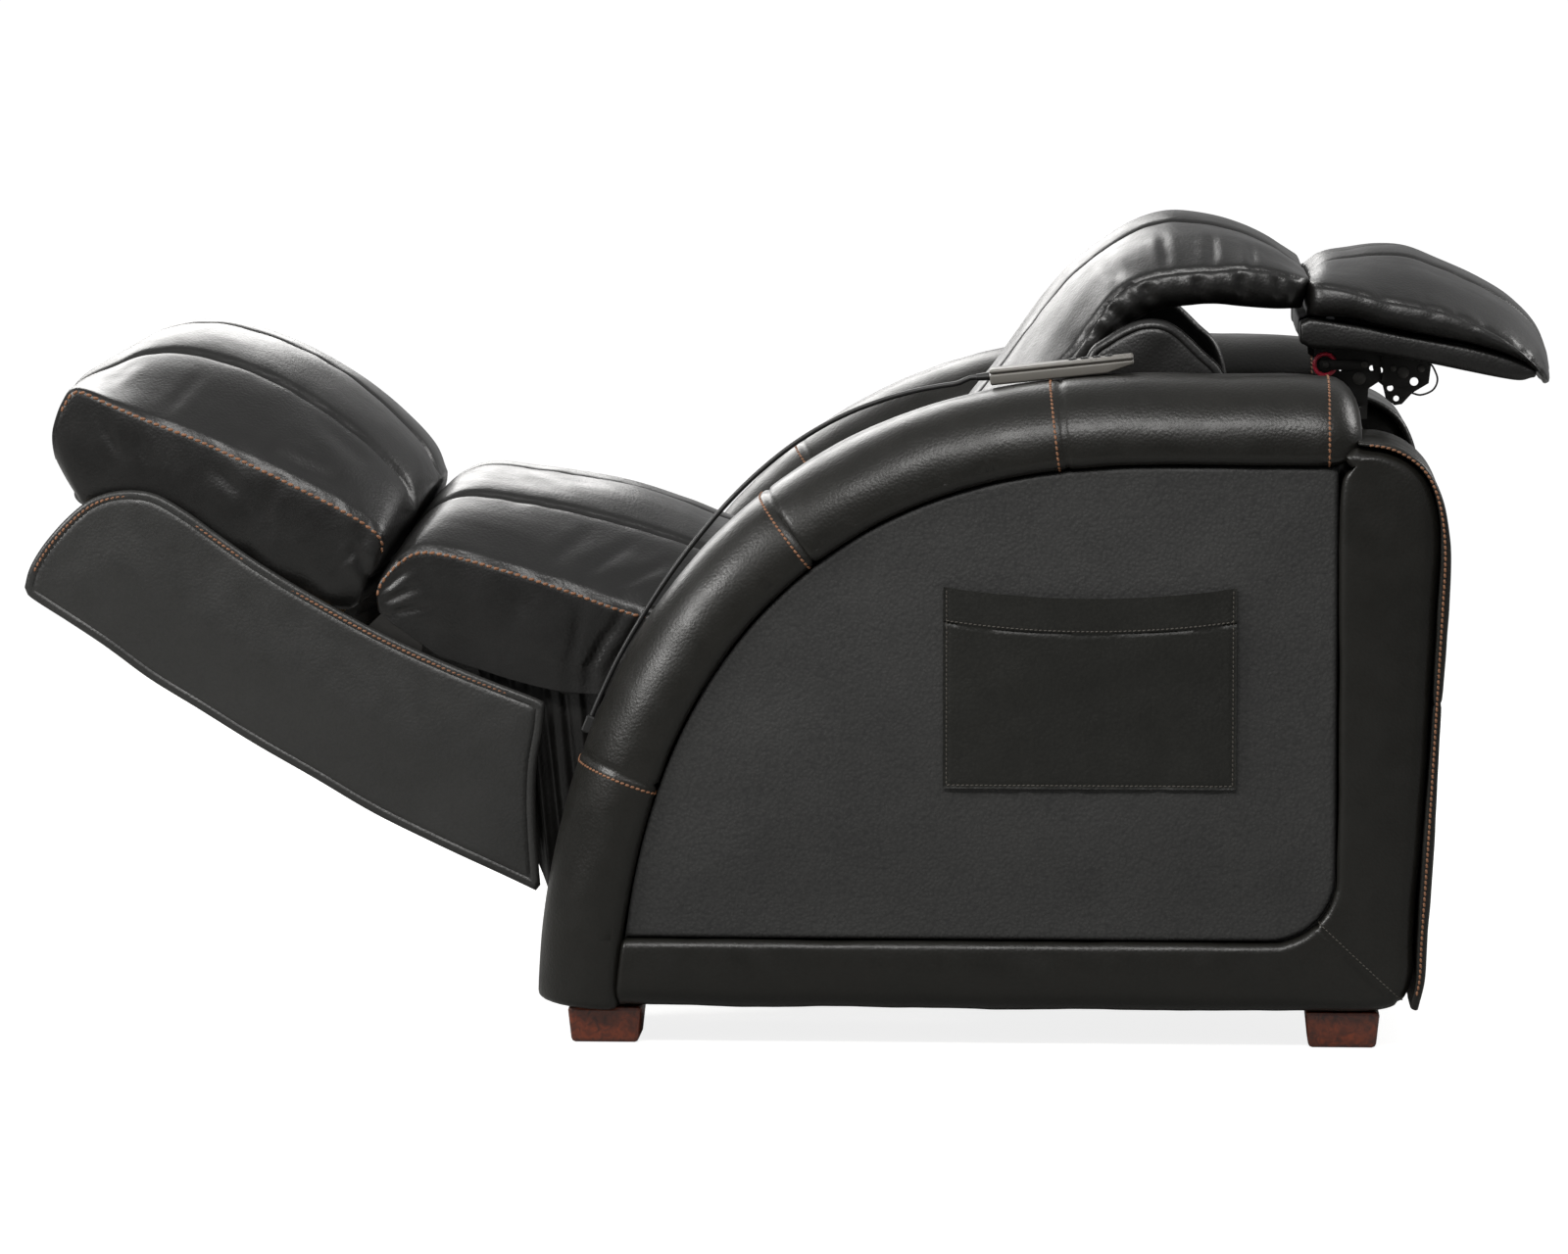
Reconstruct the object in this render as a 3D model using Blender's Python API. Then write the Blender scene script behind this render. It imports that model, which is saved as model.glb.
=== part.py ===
"""Power recliner, laid back with its leg rest raised: a reclining lounge chair in black leather.

Metres, +Z up. The sitter faces -Y and the sitter's left arm is on +X. The origin is on the floor,
under the middle of the reclined length. All sizes in the side view are measured from the middle of the base.
"""

import math

import bmesh
import bpy
from mathutils import Vector

# Clearances
GAP = 0.0003  # between pieces that touch
RUN = 0.0005  # between plates that turn or slide past each other

# Whole chair
CHAIR_Y = 0.2285  # from the origin back to the middle of the base
SEAT_W = 0.500  # width of the seat and foot cushions
FRAME_PLATE_T = 0.004  # pressed steel of the seat and leg rest sides
CUSHION_SIDE = 0.002  # room between a cushion and the steel beside it

# Arms
ARM_W = 0.200
ARM_MID_Y, ARM_MID_Z = 0.180, -0.033  # centre of the arm's rounded outline
ARM_REACH, ARM_RISE = 0.665, 0.730  # half axes of that outline
ARM_POWER = 2.33  # 2 is an ellipse, more is squarer
ARM_STEPS = 20
ROLL_T = 0.090  # thickness of the padded roll
ROLL_ROUND = 0.038
ROLL_END_Y = 0.376
SLOT = 0.006  # room between a leg rest side and the arm
PANEL_T = 0.010
PANEL_SET_IN = 0.0125
PANEL_REAR_Y = 0.352
PANEL_CORNER = 0.070
POST_TOP_Z = 0.649
REAR_BOTTOM_Y = 0.428  # rear face of the rear post at its foot
REAR_LEAN = 0.050  # metres back for each metre up
EDGE_ROUND = 0.010

# Base
FOOT_H = 0.038
FOOT_W = 0.078
FOOT_TAPER = 0.008
FRONT_FOOT_Y, REAR_FOOT_Y = -0.409, 0.360
RAIL_TOP_Z = 0.1115
CROSS_RAIL_Z, CROSS_RAIL_H, CROSS_RAIL_T = 0.045, 0.055, 0.040
FRONT_RAIL_Y, REAR_RAIL_Y = -0.300, 0.360  # front faces of the cross rails
COVER_T = 0.014
COVER_HALF_W = 0.450
COVER_TOP_Z, COVER_DIP_Z = 0.600, 0.490
RUNNER_RAIL_X, RUNNER_RAIL_W, RUNNER_RAIL_H = 0.180, 0.030, 0.025
DRIVE_RAIL_W, DRIVE_RAIL_H = 0.036, 0.028
DRIVE_MOTOR_L, DRIVE_MOTOR_W, DRIVE_MOTOR_H = 0.075, 0.080, 0.070
INLET_W, INLET_H, INLET_T = 0.044, 0.030, 0.008

# Side pocket
POCKET_FRONT_Y, POCKET_L = -0.055, 0.303
POCKET_BOTTOM_Z, POCKET_H = 0.272, 0.210
POCKET_T, POCKET_WALL, POCKET_BACK = 0.012, 0.003, 0.002

# Seat
DECK_Z, DECK_T = 0.352, 0.015
DECK_FRONT_Y, DECK_REAR_Y = -0.460, 0.000
CARRIAGE_T, CARRIAGE_L, CARRIAGE_FRONT_Y = 0.016, 0.360, -0.280
CARRIAGE_BAR_Y, CARRIAGE_BAR_W, CARRIAGE_BAR_T = -0.080, 0.050, 0.014
BACK_DRIVE_X, BACK_DRIVE_W, BACK_DRIVE_H = 0.065, 0.030, 0.030
BACK_DRIVE_FRONT_Y, BACK_DRIVE_REAR_Y = -0.300, 0.020
BACK_MOTOR_L, BACK_MOTOR_W, BACK_MOTOR_H = 0.080, 0.050, 0.060
BACK_BLOCK_L, BACK_BLOCK_Y = 0.040, -0.150

# Leg rest
LEG_PIVOT = (-0.625, 0.455)  # (y, z)
WING_T = 0.017
PIN_R = 0.006
LEG_BOARD_T = 0.014
LEG_BOARD_FRONT, LEG_BOARD_REAR = (-0.985, 0.543), (-0.720, 0.432)
LEG_TUBE_AT, LEG_TUBE_R = (-0.730, 0.363), 0.010
LEG_SKIN_T = 0.012

# Back
BACK_PIVOT = (0.020, 0.450)
BACK_ANGLE = math.radians(26)
BACK_L = 0.406
BACK_TUBE_R = 0.0125
BACK_TUBE_SET_IN = 0.014  # from the seat's side in to the middle of the back's tube
BACK_LOWER = 0.060  # distance of the lower cross tube up the back
BACK_BOARD_T, BACK_BOARD_L = 0.010, 0.300
FIN_T = 0.025

# Headrest
HEAD_PIVOT = (0.350, 0.742)
HEAD_SET_IN = 0.015  # how much narrower the headrest is than the seat, on each side
HEAD_PIN_R = 0.005
HEAD_PLATE_X, HEAD_PLATE_T = 0.150, 0.006
HEAD_BOARD_FRONT, HEAD_BOARD_REAR = (0.372, 0.739), (0.552, 0.704)
HEAD_BOARD_T = 0.024
HEAD_MOTOR_R, HEAD_MOTOR_L = 0.018, 0.120
RING_AT, RING_R, RING_BORE_R, RING_T = (0.346, 0.694), 0.0135, 0.0085, 0.005

# Handset on the left arm
HANDSET_X, HANDSET_Y = 0.362, 0.066
HANDSET_L, HANDSET_W = 0.152, 0.046
HANDSET_LOWER_T, HANDSET_UPPER_T = 0.009, 0.008
BUTTON_R, BUTTON_PITCH, BUTTON_H, BUTTON_WELL = 0.0046, 0.0127, 0.0035, 0.0030
BUTTON_RISE = 0.0015
BUTTON_FIRST = 0.012  # from the handset's middle to the first button
GLAND_L, GLAND_R, GLAND_TIP_R = 0.014, 0.0045, 0.0035
CORD_D = 0.0055
SOCKET_L, SOCKET_W, SOCKET_T = 0.018, 0.016, 0.010
SOCKET_Z = 0.318

# Values worked out from those above
BACK_TUBE_X = SEAT_W / 2 - BACK_TUBE_SET_IN
HEAD_W = SEAT_W - 2 * HEAD_SET_IN
PLATE_IN_X = SEAT_W / 2 + CUSHION_SIDE
PLATE_OUT_X = PLATE_IN_X + FRAME_PLATE_T
LEG_PLATE_IN_X = PLATE_OUT_X + RUN
LEG_PLATE_OUT_X = LEG_PLATE_IN_X + FRAME_PLATE_T
WING_IN_X = LEG_PLATE_OUT_X + RUN
WING_OUT_X = WING_IN_X + WING_T
ARM_IN_X = WING_OUT_X + SLOT
ARM_OUT_X = ARM_IN_X + ARM_W
PANEL_OUT_X = ARM_OUT_X - PANEL_SET_IN
PANEL_IN_X = PANEL_OUT_X - PANEL_T
RAIL_BOTTOM_Z = FOOT_H + GAP
CROSS_TOP_Z = CROSS_RAIL_Z + CROSS_RAIL_H
DRIVE_TOP_Z = CROSS_TOP_Z + GAP + DRIVE_RAIL_H
RUNNER_TOP_Z = CROSS_TOP_Z + GAP + RUNNER_RAIL_H
DECK_TOP_Z = DECK_Z + DECK_T
BACK_ALONG = (math.cos(BACK_ANGLE), math.sin(BACK_ANGLE))
BACK_ACROSS = (-math.sin(BACK_ANGLE), math.cos(BACK_ANGLE))
HEAD_PLATE_OUT_X = HEAD_PLATE_X + HEAD_PLATE_T
SIDES = {"left": 1, "right": -1}

FINISHES = {
    "leather": ((0.012, 0.011, 0.010), 0.42, 0.0),
    "vinyl": ((0.030, 0.031, 0.032), 0.60, 0.0),
    "wood": ((0.150, 0.045, 0.018), 0.40, 0.0),
    "board": ((0.420, 0.290, 0.170), 0.75, 0.0),
    "black steel": ((0.020, 0.020, 0.022), 0.45, 0.9),
    "zinc": ((0.550, 0.560, 0.580), 0.35, 1.0),
    "grey plastic": ((0.100, 0.096, 0.090), 0.45, 0.0),
    "black plastic": ((0.015, 0.015, 0.016), 0.50, 0.0),
    "red plastic": ((0.560, 0.030, 0.060), 0.40, 0.0),
}


def clear_scene():
    for item in list(bpy.data.objects):
        bpy.data.objects.remove(item, do_unlink=True)


def pivot_empty(name, parent, y, z):
    """An empty on a body's own axis, placed in the side view."""
    empty = bpy.data.objects.new(name, None)
    bpy.context.scene.collection.objects.link(empty)
    empty.empty_display_size = 0.05
    empty["at"] = (y, z)
    if parent is None:
        empty.location = (0, CHAIR_Y, 0)
    else:
        parent_y, parent_z = parent["at"]
        empty.parent = parent
        empty.location = (0, y - parent_y, z - parent_z)
    return empty


def material_for(name, finish):
    colour, roughness, metallic = FINISHES[finish]
    material = bpy.data.materials.new(f"{name} {finish}")
    material.use_nodes = True
    shader = material.node_tree.nodes["Principled BSDF"]
    shader.inputs["Base Color"].default_value = (*colour, 1)
    shader.inputs["Roughness"].default_value = roughness
    shader.inputs["Metallic"].default_value = metallic
    return material


def add_mesh(name, shape, body, finish, sharp=40):
    """A mesh object from a bmesh in chair coordinates, with its origin on its body's axis."""
    y, z = body["at"]
    bmesh.ops.translate(shape, verts=shape.verts, vec=(0, -y, -z))
    bmesh.ops.recalc_face_normals(shape, faces=shape.faces)
    mesh = bpy.data.meshes.new(name)
    shape.to_mesh(mesh)
    shape.free()
    obj = bpy.data.objects.new(name, mesh)
    bpy.context.scene.collection.objects.link(obj)
    obj.parent = body
    mesh.materials.append(material_for(name, finish))
    mesh.shade_smooth()
    mesh.set_sharp_from_angle(angle=math.radians(sharp))
    return obj


def bevel(obj, width, segments=2, angle=50):
    modifier = obj.modifiers.new("rounded edges", "BEVEL")
    modifier.width = width
    modifier.segments = segments
    modifier.limit_method = "ANGLE"
    modifier.angle_limit = math.radians(angle)
    return obj


def prism(outline, x0, x1):
    """A side view outline of (y, z) points given thickness along X."""
    shape = bmesh.new()
    near = [shape.verts.new((x0, y, z)) for y, z in outline]
    far = [shape.verts.new((x1, y, z)) for y, z in outline]
    shape.faces.new(near)
    shape.faces.new(far)
    for i in range(len(outline)):
        j = (i + 1) % len(outline)
        shape.faces.new((near[i], near[j], far[j], far[i]))
    return shape


def block(x0, x1, y0, y1, z0, z1):
    return prism([(y0, z0), (y1, z0), (y1, z1), (y0, z1)], x0, x1)


def mirrored(side, x0, x1):
    """The two X limits of a piece on the left or the right."""
    return (x0, x1) if SIDES[side] > 0 else (-x1, -x0)


def cylinder(x0, x1, at, radius, segments=20):
    """A round bar along X through a point of the side view."""
    ring = [2 * math.pi * i / segments for i in range(segments)]
    return prism([(at[0] + radius * math.cos(a), at[1] + radius * math.sin(a)) for a in ring], x0, x1)


def cutter(name, shape, body):
    y, z = body["at"]
    bmesh.ops.translate(shape, verts=shape.verts, vec=(0, -y, -z))
    bmesh.ops.recalc_face_normals(shape, faces=shape.faces)
    mesh = bpy.data.meshes.new(name)
    shape.to_mesh(mesh)
    shape.free()
    obj = bpy.data.objects.new(name, mesh)
    bpy.context.scene.collection.objects.link(obj)
    obj.parent = body
    obj.hide_render = True
    obj.display_type = "WIRE"
    return obj


def cut(obj, tool, operation="DIFFERENCE"):
    modifier = obj.modifiers.new(operation.lower(), "BOOLEAN")
    modifier.operation = operation
    modifier.object = tool
    return obj


def smooth_path(points, count):
    """Points spread along a curve that passes through the given ones (Catmull-Rom)."""
    knots = [Vector(p) for p in points]
    knots = [2 * knots[0] - knots[1], *knots, 2 * knots[-1] - knots[-2]]
    spans = len(knots) - 3
    path = []
    for i in range(count):
        place_along = spans * i / (count - 1)
        k = min(int(place_along), spans - 1)
        t = place_along - k
        a, b, c, d = knots[k : k + 4]
        path.append(
            0.5 * (2 * b + (c - a) * t + (2 * a - 5 * b + 4 * c - d) * t * t + (3 * b - a - 3 * c + d) * t**3)
        )
    return path


def straight_path(points, count):
    """Points spread along straight lines between the given ones, in step with smooth_path."""
    spans = len(points) - 1
    path = []
    for i in range(count):
        place_along = spans * i / (count - 1)
        k = min(int(place_along), spans - 1)
        path.append(Vector(points[k]).lerp(Vector(points[k + 1]), place_along - k))
    return path


def loft(rings):
    """A closed skin over rings of equal count, with a flat fan at each end."""
    shape = bmesh.new()
    made = [[shape.verts.new(p) for p in ring] for ring in rings]
    count = len(rings[0])
    for lower, upper in zip(made, made[1:]):
        for i in range(count):
            j = (i + 1) % count
            shape.faces.new((lower[i], lower[j], upper[j], upper[i]))
    for ring in (made[0], made[-1]):
        middle = shape.verts.new(sum((v.co for v in ring), Vector()) / count)
        for i in range(count):
            shape.faces.new((ring[i], ring[(i + 1) % count], middle))
    return shape


def on_back(along, across=0.0):
    """A side view point a distance up the back's frame and in front of it."""
    return (
        BACK_PIVOT[0] + BACK_ALONG[0] * along + BACK_ACROSS[0] * across,
        BACK_PIVOT[1] + BACK_ALONG[1] * along + BACK_ACROSS[1] * across,
    )


# Arm outline
def arm_point(turn):
    """The arm's outer line and its outward normal, from the front (0) to the top (pi / 2)."""
    u, v = math.cos(turn) ** (2 / ARM_POWER), math.sin(turn) ** (2 / ARM_POWER)
    normal = Vector((-(u ** (ARM_POWER - 1)) / ARM_REACH, v ** (ARM_POWER - 1) / ARM_RISE)).normalized()
    return Vector((ARM_MID_Y - ARM_REACH * u, ARM_MID_Z + ARM_RISE * v)), normal


def turn_at_height(z):
    return math.asin(((z - ARM_MID_Z) / ARM_RISE) ** (ARM_POWER / 2))


def turn_at_depth(y):
    return math.acos(((ARM_MID_Y - y) / ARM_REACH) ** (ARM_POWER / 2))


def arm_stations():
    """Points and normals along the arm's outline from its foot to the middle of its top."""
    start = turn_at_height(RAIL_BOTTOM_Z)
    line = [arm_point(start + (math.pi / 2 - start) * i / ARM_STEPS) for i in range(ARM_STEPS + 1)]
    line[0] = (line[0][0], Vector((-1, 0)))
    return line


def inner_line(inset, floor_z):
    """The arm's outline moved in by a distance, from a height up to its top."""
    line = [point - normal * inset for point, normal in arm_stations()]
    above = [i for i, p in enumerate(line) if p.y > floor_z]
    first = max(above[0], 1)
    low, high = line[first - 1], line[first]
    share = (floor_z - low.y) / (high.y - low.y)
    return [tuple(low.lerp(high, share))] + [tuple(p) for p in line[first:]]


def rear_y(z):
    """The rear face of the posts and side rails, which leans back."""
    return REAR_BOTTOM_Y + REAR_LEAN * (z - RAIL_BOTTOM_Z)


def rounded_rectangle(half_x, depth, radius, steps=4):
    """A section: x across, and b from the outer face (0) to the inner one (depth)."""
    ring = []
    corners = ((1, 0), (1, 1), (-1, 1), (-1, 0))
    for k, (sx, sb) in enumerate(corners):
        cx = sx * (half_x - radius)
        cb = radius if sb == 0 else depth - radius
        for i in range(steps + 1):
            a = math.radians(-90 + 90 * k + 90 * i / steps)
            ring.append((cx + radius * math.cos(a), cb + radius * math.sin(a)))
    return ring


def arm_roll(side, base):
    """The padded roll from the front foot, over the arm's top, to its rounded rear end."""
    middle_x = SIDES[side] * (ARM_IN_X + ARM_W / 2)
    stations = [(point, normal, 0.0) for point, normal in arm_stations()]
    top = ARM_MID_Z + ARM_RISE
    cap = ROLL_ROUND * 0.8
    for y in (0.26, ROLL_END_Y - cap):
        stations.append((Vector((y, top)), Vector((0, 1)), 0.0))
    for a in (30, 60, 85):
        back = math.radians(a)
        stations.append(
            (Vector((ROLL_END_Y - cap + cap * math.sin(back), top)), Vector((0, 1)), cap * (1 - math.cos(back)))
        )
    rings = []
    for point, normal, shrink in stations:
        ring = rounded_rectangle(ARM_W / 2 - shrink, ROLL_T - 2 * shrink, ROLL_ROUND - shrink)
        rings.append([
            Vector((middle_x + x, *(point - normal * (b + shrink)))) for x, b in ring
        ])
    return add_mesh(f"arm_roll_{side}", loft(rings), base, "leather", 60)


def panel_outline(corner=0.0):
    """The arm's flat field inside its roll, post and bottom rail."""
    bottom = RAIL_TOP_Z + GAP
    line = inner_line(ROLL_T + GAP, bottom)
    line.append((PANEL_REAR_Y, line[-1][1]))
    if corner == 0:
        line.append((PANEL_REAR_Y, bottom))
    for i in range(7 if corner else 0):
        a = math.radians(90 * i / 6)
        line.append((
            PANEL_REAR_Y - corner + corner * math.cos(a),
            bottom + corner - corner * math.sin(a),
        ))
    return line


def arm_frame(side, base):
    """The core, the outer panel, the bottom rail and the rear post of one arm."""
    core = mirrored(side, ARM_IN_X, PANEL_IN_X - GAP)
    add_mesh(f"arm_core_{side}", prism(panel_outline(), *core), base, "leather")
    outer = add_mesh(
        f"arm_panel_{side}", prism(panel_outline(PANEL_CORNER), *mirrored(side, PANEL_IN_X, PANEL_OUT_X)), base, "vinyl"
    )
    bevel(outer, 0.003, 1)
    low_front = arm_point(turn_at_height(RAIL_BOTTOM_Z))[0].x + ROLL_T + GAP
    top_front = inner_line(ROLL_T + GAP, RAIL_TOP_Z)[0][0]
    rail = [
        (low_front + RUN, RAIL_BOTTOM_Z),
        (rear_y(RAIL_BOTTOM_Z), RAIL_BOTTOM_Z),
        (rear_y(RAIL_TOP_Z), RAIL_TOP_Z),
        (top_front + RUN, RAIL_TOP_Z),
    ]
    whole = mirrored(side, ARM_IN_X, ARM_OUT_X)
    bevel(add_mesh(f"side_rail_{side}", prism(rail, *whole), base, "leather"), EDGE_ROUND, 2, 80)
    front = PANEL_REAR_Y + GAP
    under_roll = ARM_MID_Z + ARM_RISE - ROLL_T - GAP
    behind_roll = ROLL_END_Y + GAP
    shoulder = POST_TOP_Z - under_roll
    post = [(front, RAIL_TOP_Z + GAP), (front, under_roll), (behind_roll, under_roll), (behind_roll, POST_TOP_Z)]
    reach = rear_y(under_roll) - behind_roll - 0.001
    for a in (65, 45, 25, 5):
        back = math.radians(a)
        post.append((
            behind_roll + reach * math.cos(back),
            under_roll - 0.02 + (shoulder + 0.02) * math.sin(back),
        ))
    post.append((rear_y(RAIL_TOP_Z + GAP), RAIL_TOP_Z + GAP))
    bevel(add_mesh(f"rear_post_{side}", prism(post, *whole), base, "leather"), EDGE_ROUND, 2, 80)


def foot(name, side, middle_y, base):
    """A tapered wooden block."""
    middle_x = SIDES[side] * (ARM_OUT_X - FOOT_W / 2 - 0.020)
    rings = []
    for z, half in ((0, FOOT_W / 2 - FOOT_TAPER / 2), (FOOT_H, FOOT_W / 2)):
        rings.append([
            Vector((middle_x + sx * half, middle_y + sy * half, z)) for sx, sy in ((1, 1), (-1, 1), (-1, -1), (1, -1))
        ])
    bevel(add_mesh(name, loft(rings), base, "wood", 30), 0.004, 2, 30)


def leaning_plate(outline, y_from, y_to):
    """An (x, z) outline given thickness behind the leaning rear face."""
    shape = bmesh.new()
    layers = []
    for offset in (y_from, y_to):
        layers.append([shape.verts.new((x, rear_y(z) + offset, z)) for x, z in outline])
        shape.faces.new(layers[-1])
    for i in range(len(outline)):
        j = (i + 1) % len(outline)
        shape.faces.new((layers[0][i], layers[0][j], layers[1][j], layers[1][i]))
    return shape


def base_frame(base):
    """Feet, cross rails, runner rails, drive and rear cover."""
    for side in SIDES:
        foot(f"foot_front_{side}", side, FRONT_FOOT_Y, base)
        foot(f"foot_rear_{side}", side, REAR_FOOT_Y, base)
    half = ARM_IN_X - GAP
    for name, y in (("front_cross_rail", FRONT_RAIL_Y), ("rear_cross_rail", REAR_RAIL_Y)):
        add_mesh(name, block(-half, half, y, y + CROSS_RAIL_T, CROSS_RAIL_Z, CROSS_TOP_Z), base, "board")
    rear_end = REAR_RAIL_Y + CROSS_RAIL_T
    for side in SIDES:
        limits = mirrored(side, RUNNER_RAIL_X - RUNNER_RAIL_W / 2, RUNNER_RAIL_X + RUNNER_RAIL_W / 2)
        add_mesh(
            f"runner_rail_{side}",
            block(*limits, FRONT_RAIL_Y, rear_end, CROSS_TOP_Z + GAP, RUNNER_TOP_Z),
            base,
            "black steel",
        )
    add_mesh(
        "drive_rail",
        block(-DRIVE_RAIL_W / 2, DRIVE_RAIL_W / 2, FRONT_RAIL_Y, rear_end, CROSS_TOP_Z + GAP, DRIVE_TOP_Z),
        base,
        "zinc",
    )
    motor = block(
        -DRIVE_MOTOR_W / 2,
        DRIVE_MOTOR_W / 2,
        rear_end - DRIVE_MOTOR_L,
        rear_end,
        DRIVE_TOP_Z + GAP,
        DRIVE_TOP_Z + GAP + DRIVE_MOTOR_H,
    )
    bevel(add_mesh("drive_motor", motor, base, "black plastic"), 0.008)
    side_line = [
        (COVER_HALF_W, RAIL_BOTTOM_Z),
        (COVER_HALF_W, COVER_TOP_Z - 0.050),
        (COVER_HALF_W - 0.012, COVER_TOP_Z - 0.016),
        (COVER_HALF_W - 0.045, COVER_TOP_Z),
        (ARM_IN_X + 0.012, COVER_TOP_Z),
        (ARM_IN_X - 0.006, COVER_TOP_Z - 0.015),
        (ARM_IN_X - 0.012, COVER_DIP_Z + 0.010),
        (ARM_IN_X - 0.030, COVER_DIP_Z),
    ]
    outline = side_line + [(-x, z) for x, z in reversed(side_line)]
    cover = add_mesh("rear_cover", leaning_plate(outline, GAP, GAP + COVER_T), base, "leather")
    bevel(cover, 0.004, 2, 60)
    inlet = [
        (0.10, 0.07), (0.10 + INLET_W, 0.07), (0.10 + INLET_W, 0.07 + INLET_H), (0.10, 0.07 + INLET_H),
    ]
    behind = 2 * GAP + COVER_T
    plate = add_mesh("power_inlet", leaning_plate(inlet, behind, behind + INLET_T), base, "black plastic")
    well = [(x * 0.8 + (0.10 + INLET_W / 2) * 0.2, z * 0.8 + (0.07 + INLET_H / 2) * 0.2) for x, z in inlet]
    cut(plate, cutter("inlet_well", leaning_plate(well, behind + INLET_T / 2, behind + 2 * INLET_T), base))


def side_pocket(base):
    """A flat pouch on the left arm's outer panel, open along its top."""
    x0 = PANEL_OUT_X + GAP
    rear = POCKET_FRONT_Y + POCKET_L
    top = POCKET_BOTTOM_Z + POCKET_H
    pouch = add_mesh(
        "side_pocket", block(x0, x0 + POCKET_T, POCKET_FRONT_Y, rear, POCKET_BOTTOM_Z, top), base, "vinyl"
    )
    room = block(
        x0 + POCKET_BACK,
        x0 + POCKET_T - POCKET_WALL,
        POCKET_FRONT_Y + POCKET_WALL,
        rear - POCKET_WALL,
        POCKET_BOTTOM_Z + POCKET_WALL,
        top + 0.02,
    )
    cut(pouch, cutter("pocket_room", room, base))


def cushion(name, lines, half_w, channel_at, stations, body, power=2.3, channel=0.045, draw_in=0.05):
    """A filled pad along the side view, sewn lengthwise and crowned across.

    Each of its lines gives the top, the bottom and how far up between them the side seam runs.
    """
    tops = smooth_path([Vector((y, z, seam)) for (y, z), _, seam in lines], stations)
    bottoms = straight_path([Vector((y, z, 0)) for _, (y, z), _ in lines], stations)
    across = [0, 0.16, 0.28, channel_at, 0.52, 0.68, 0.82, 0.93, 1.0]
    rings = []
    for i, (top, bottom) in enumerate(zip(tops, bottoms)):
        along = i / (stations - 1)
        width = half_w * (1 - draw_in * abs(2 * along - 1) ** 4)
        sewn = channel * min(1, 6 * along, 6 * (1 - along))
        ring = []
        seam = top.z
        for share in [-s for s in reversed(across[1:])] + across:
            height = seam + (1 - seam) * (1 - abs(share) ** power)
            if abs(abs(share) - channel_at) < 0.001:
                height -= sewn
            point = bottom.lerp(top, height)
            ring.append(Vector((width * share * 0.99, point.x, point.y)))
        side = ((1.0, 0.5), (0.97, 0.1), (0.90, 0))
        for share, down in side + ((0, 0),) + tuple((-s, d) for s, d in reversed(side)):
            point = bottom.lerp(top, seam * down)
            ring.append(Vector((width * share, point.x, point.y)))
        rings.append(ring)
    return add_mesh(name, loft(rings), body, "leather", 60)


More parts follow.
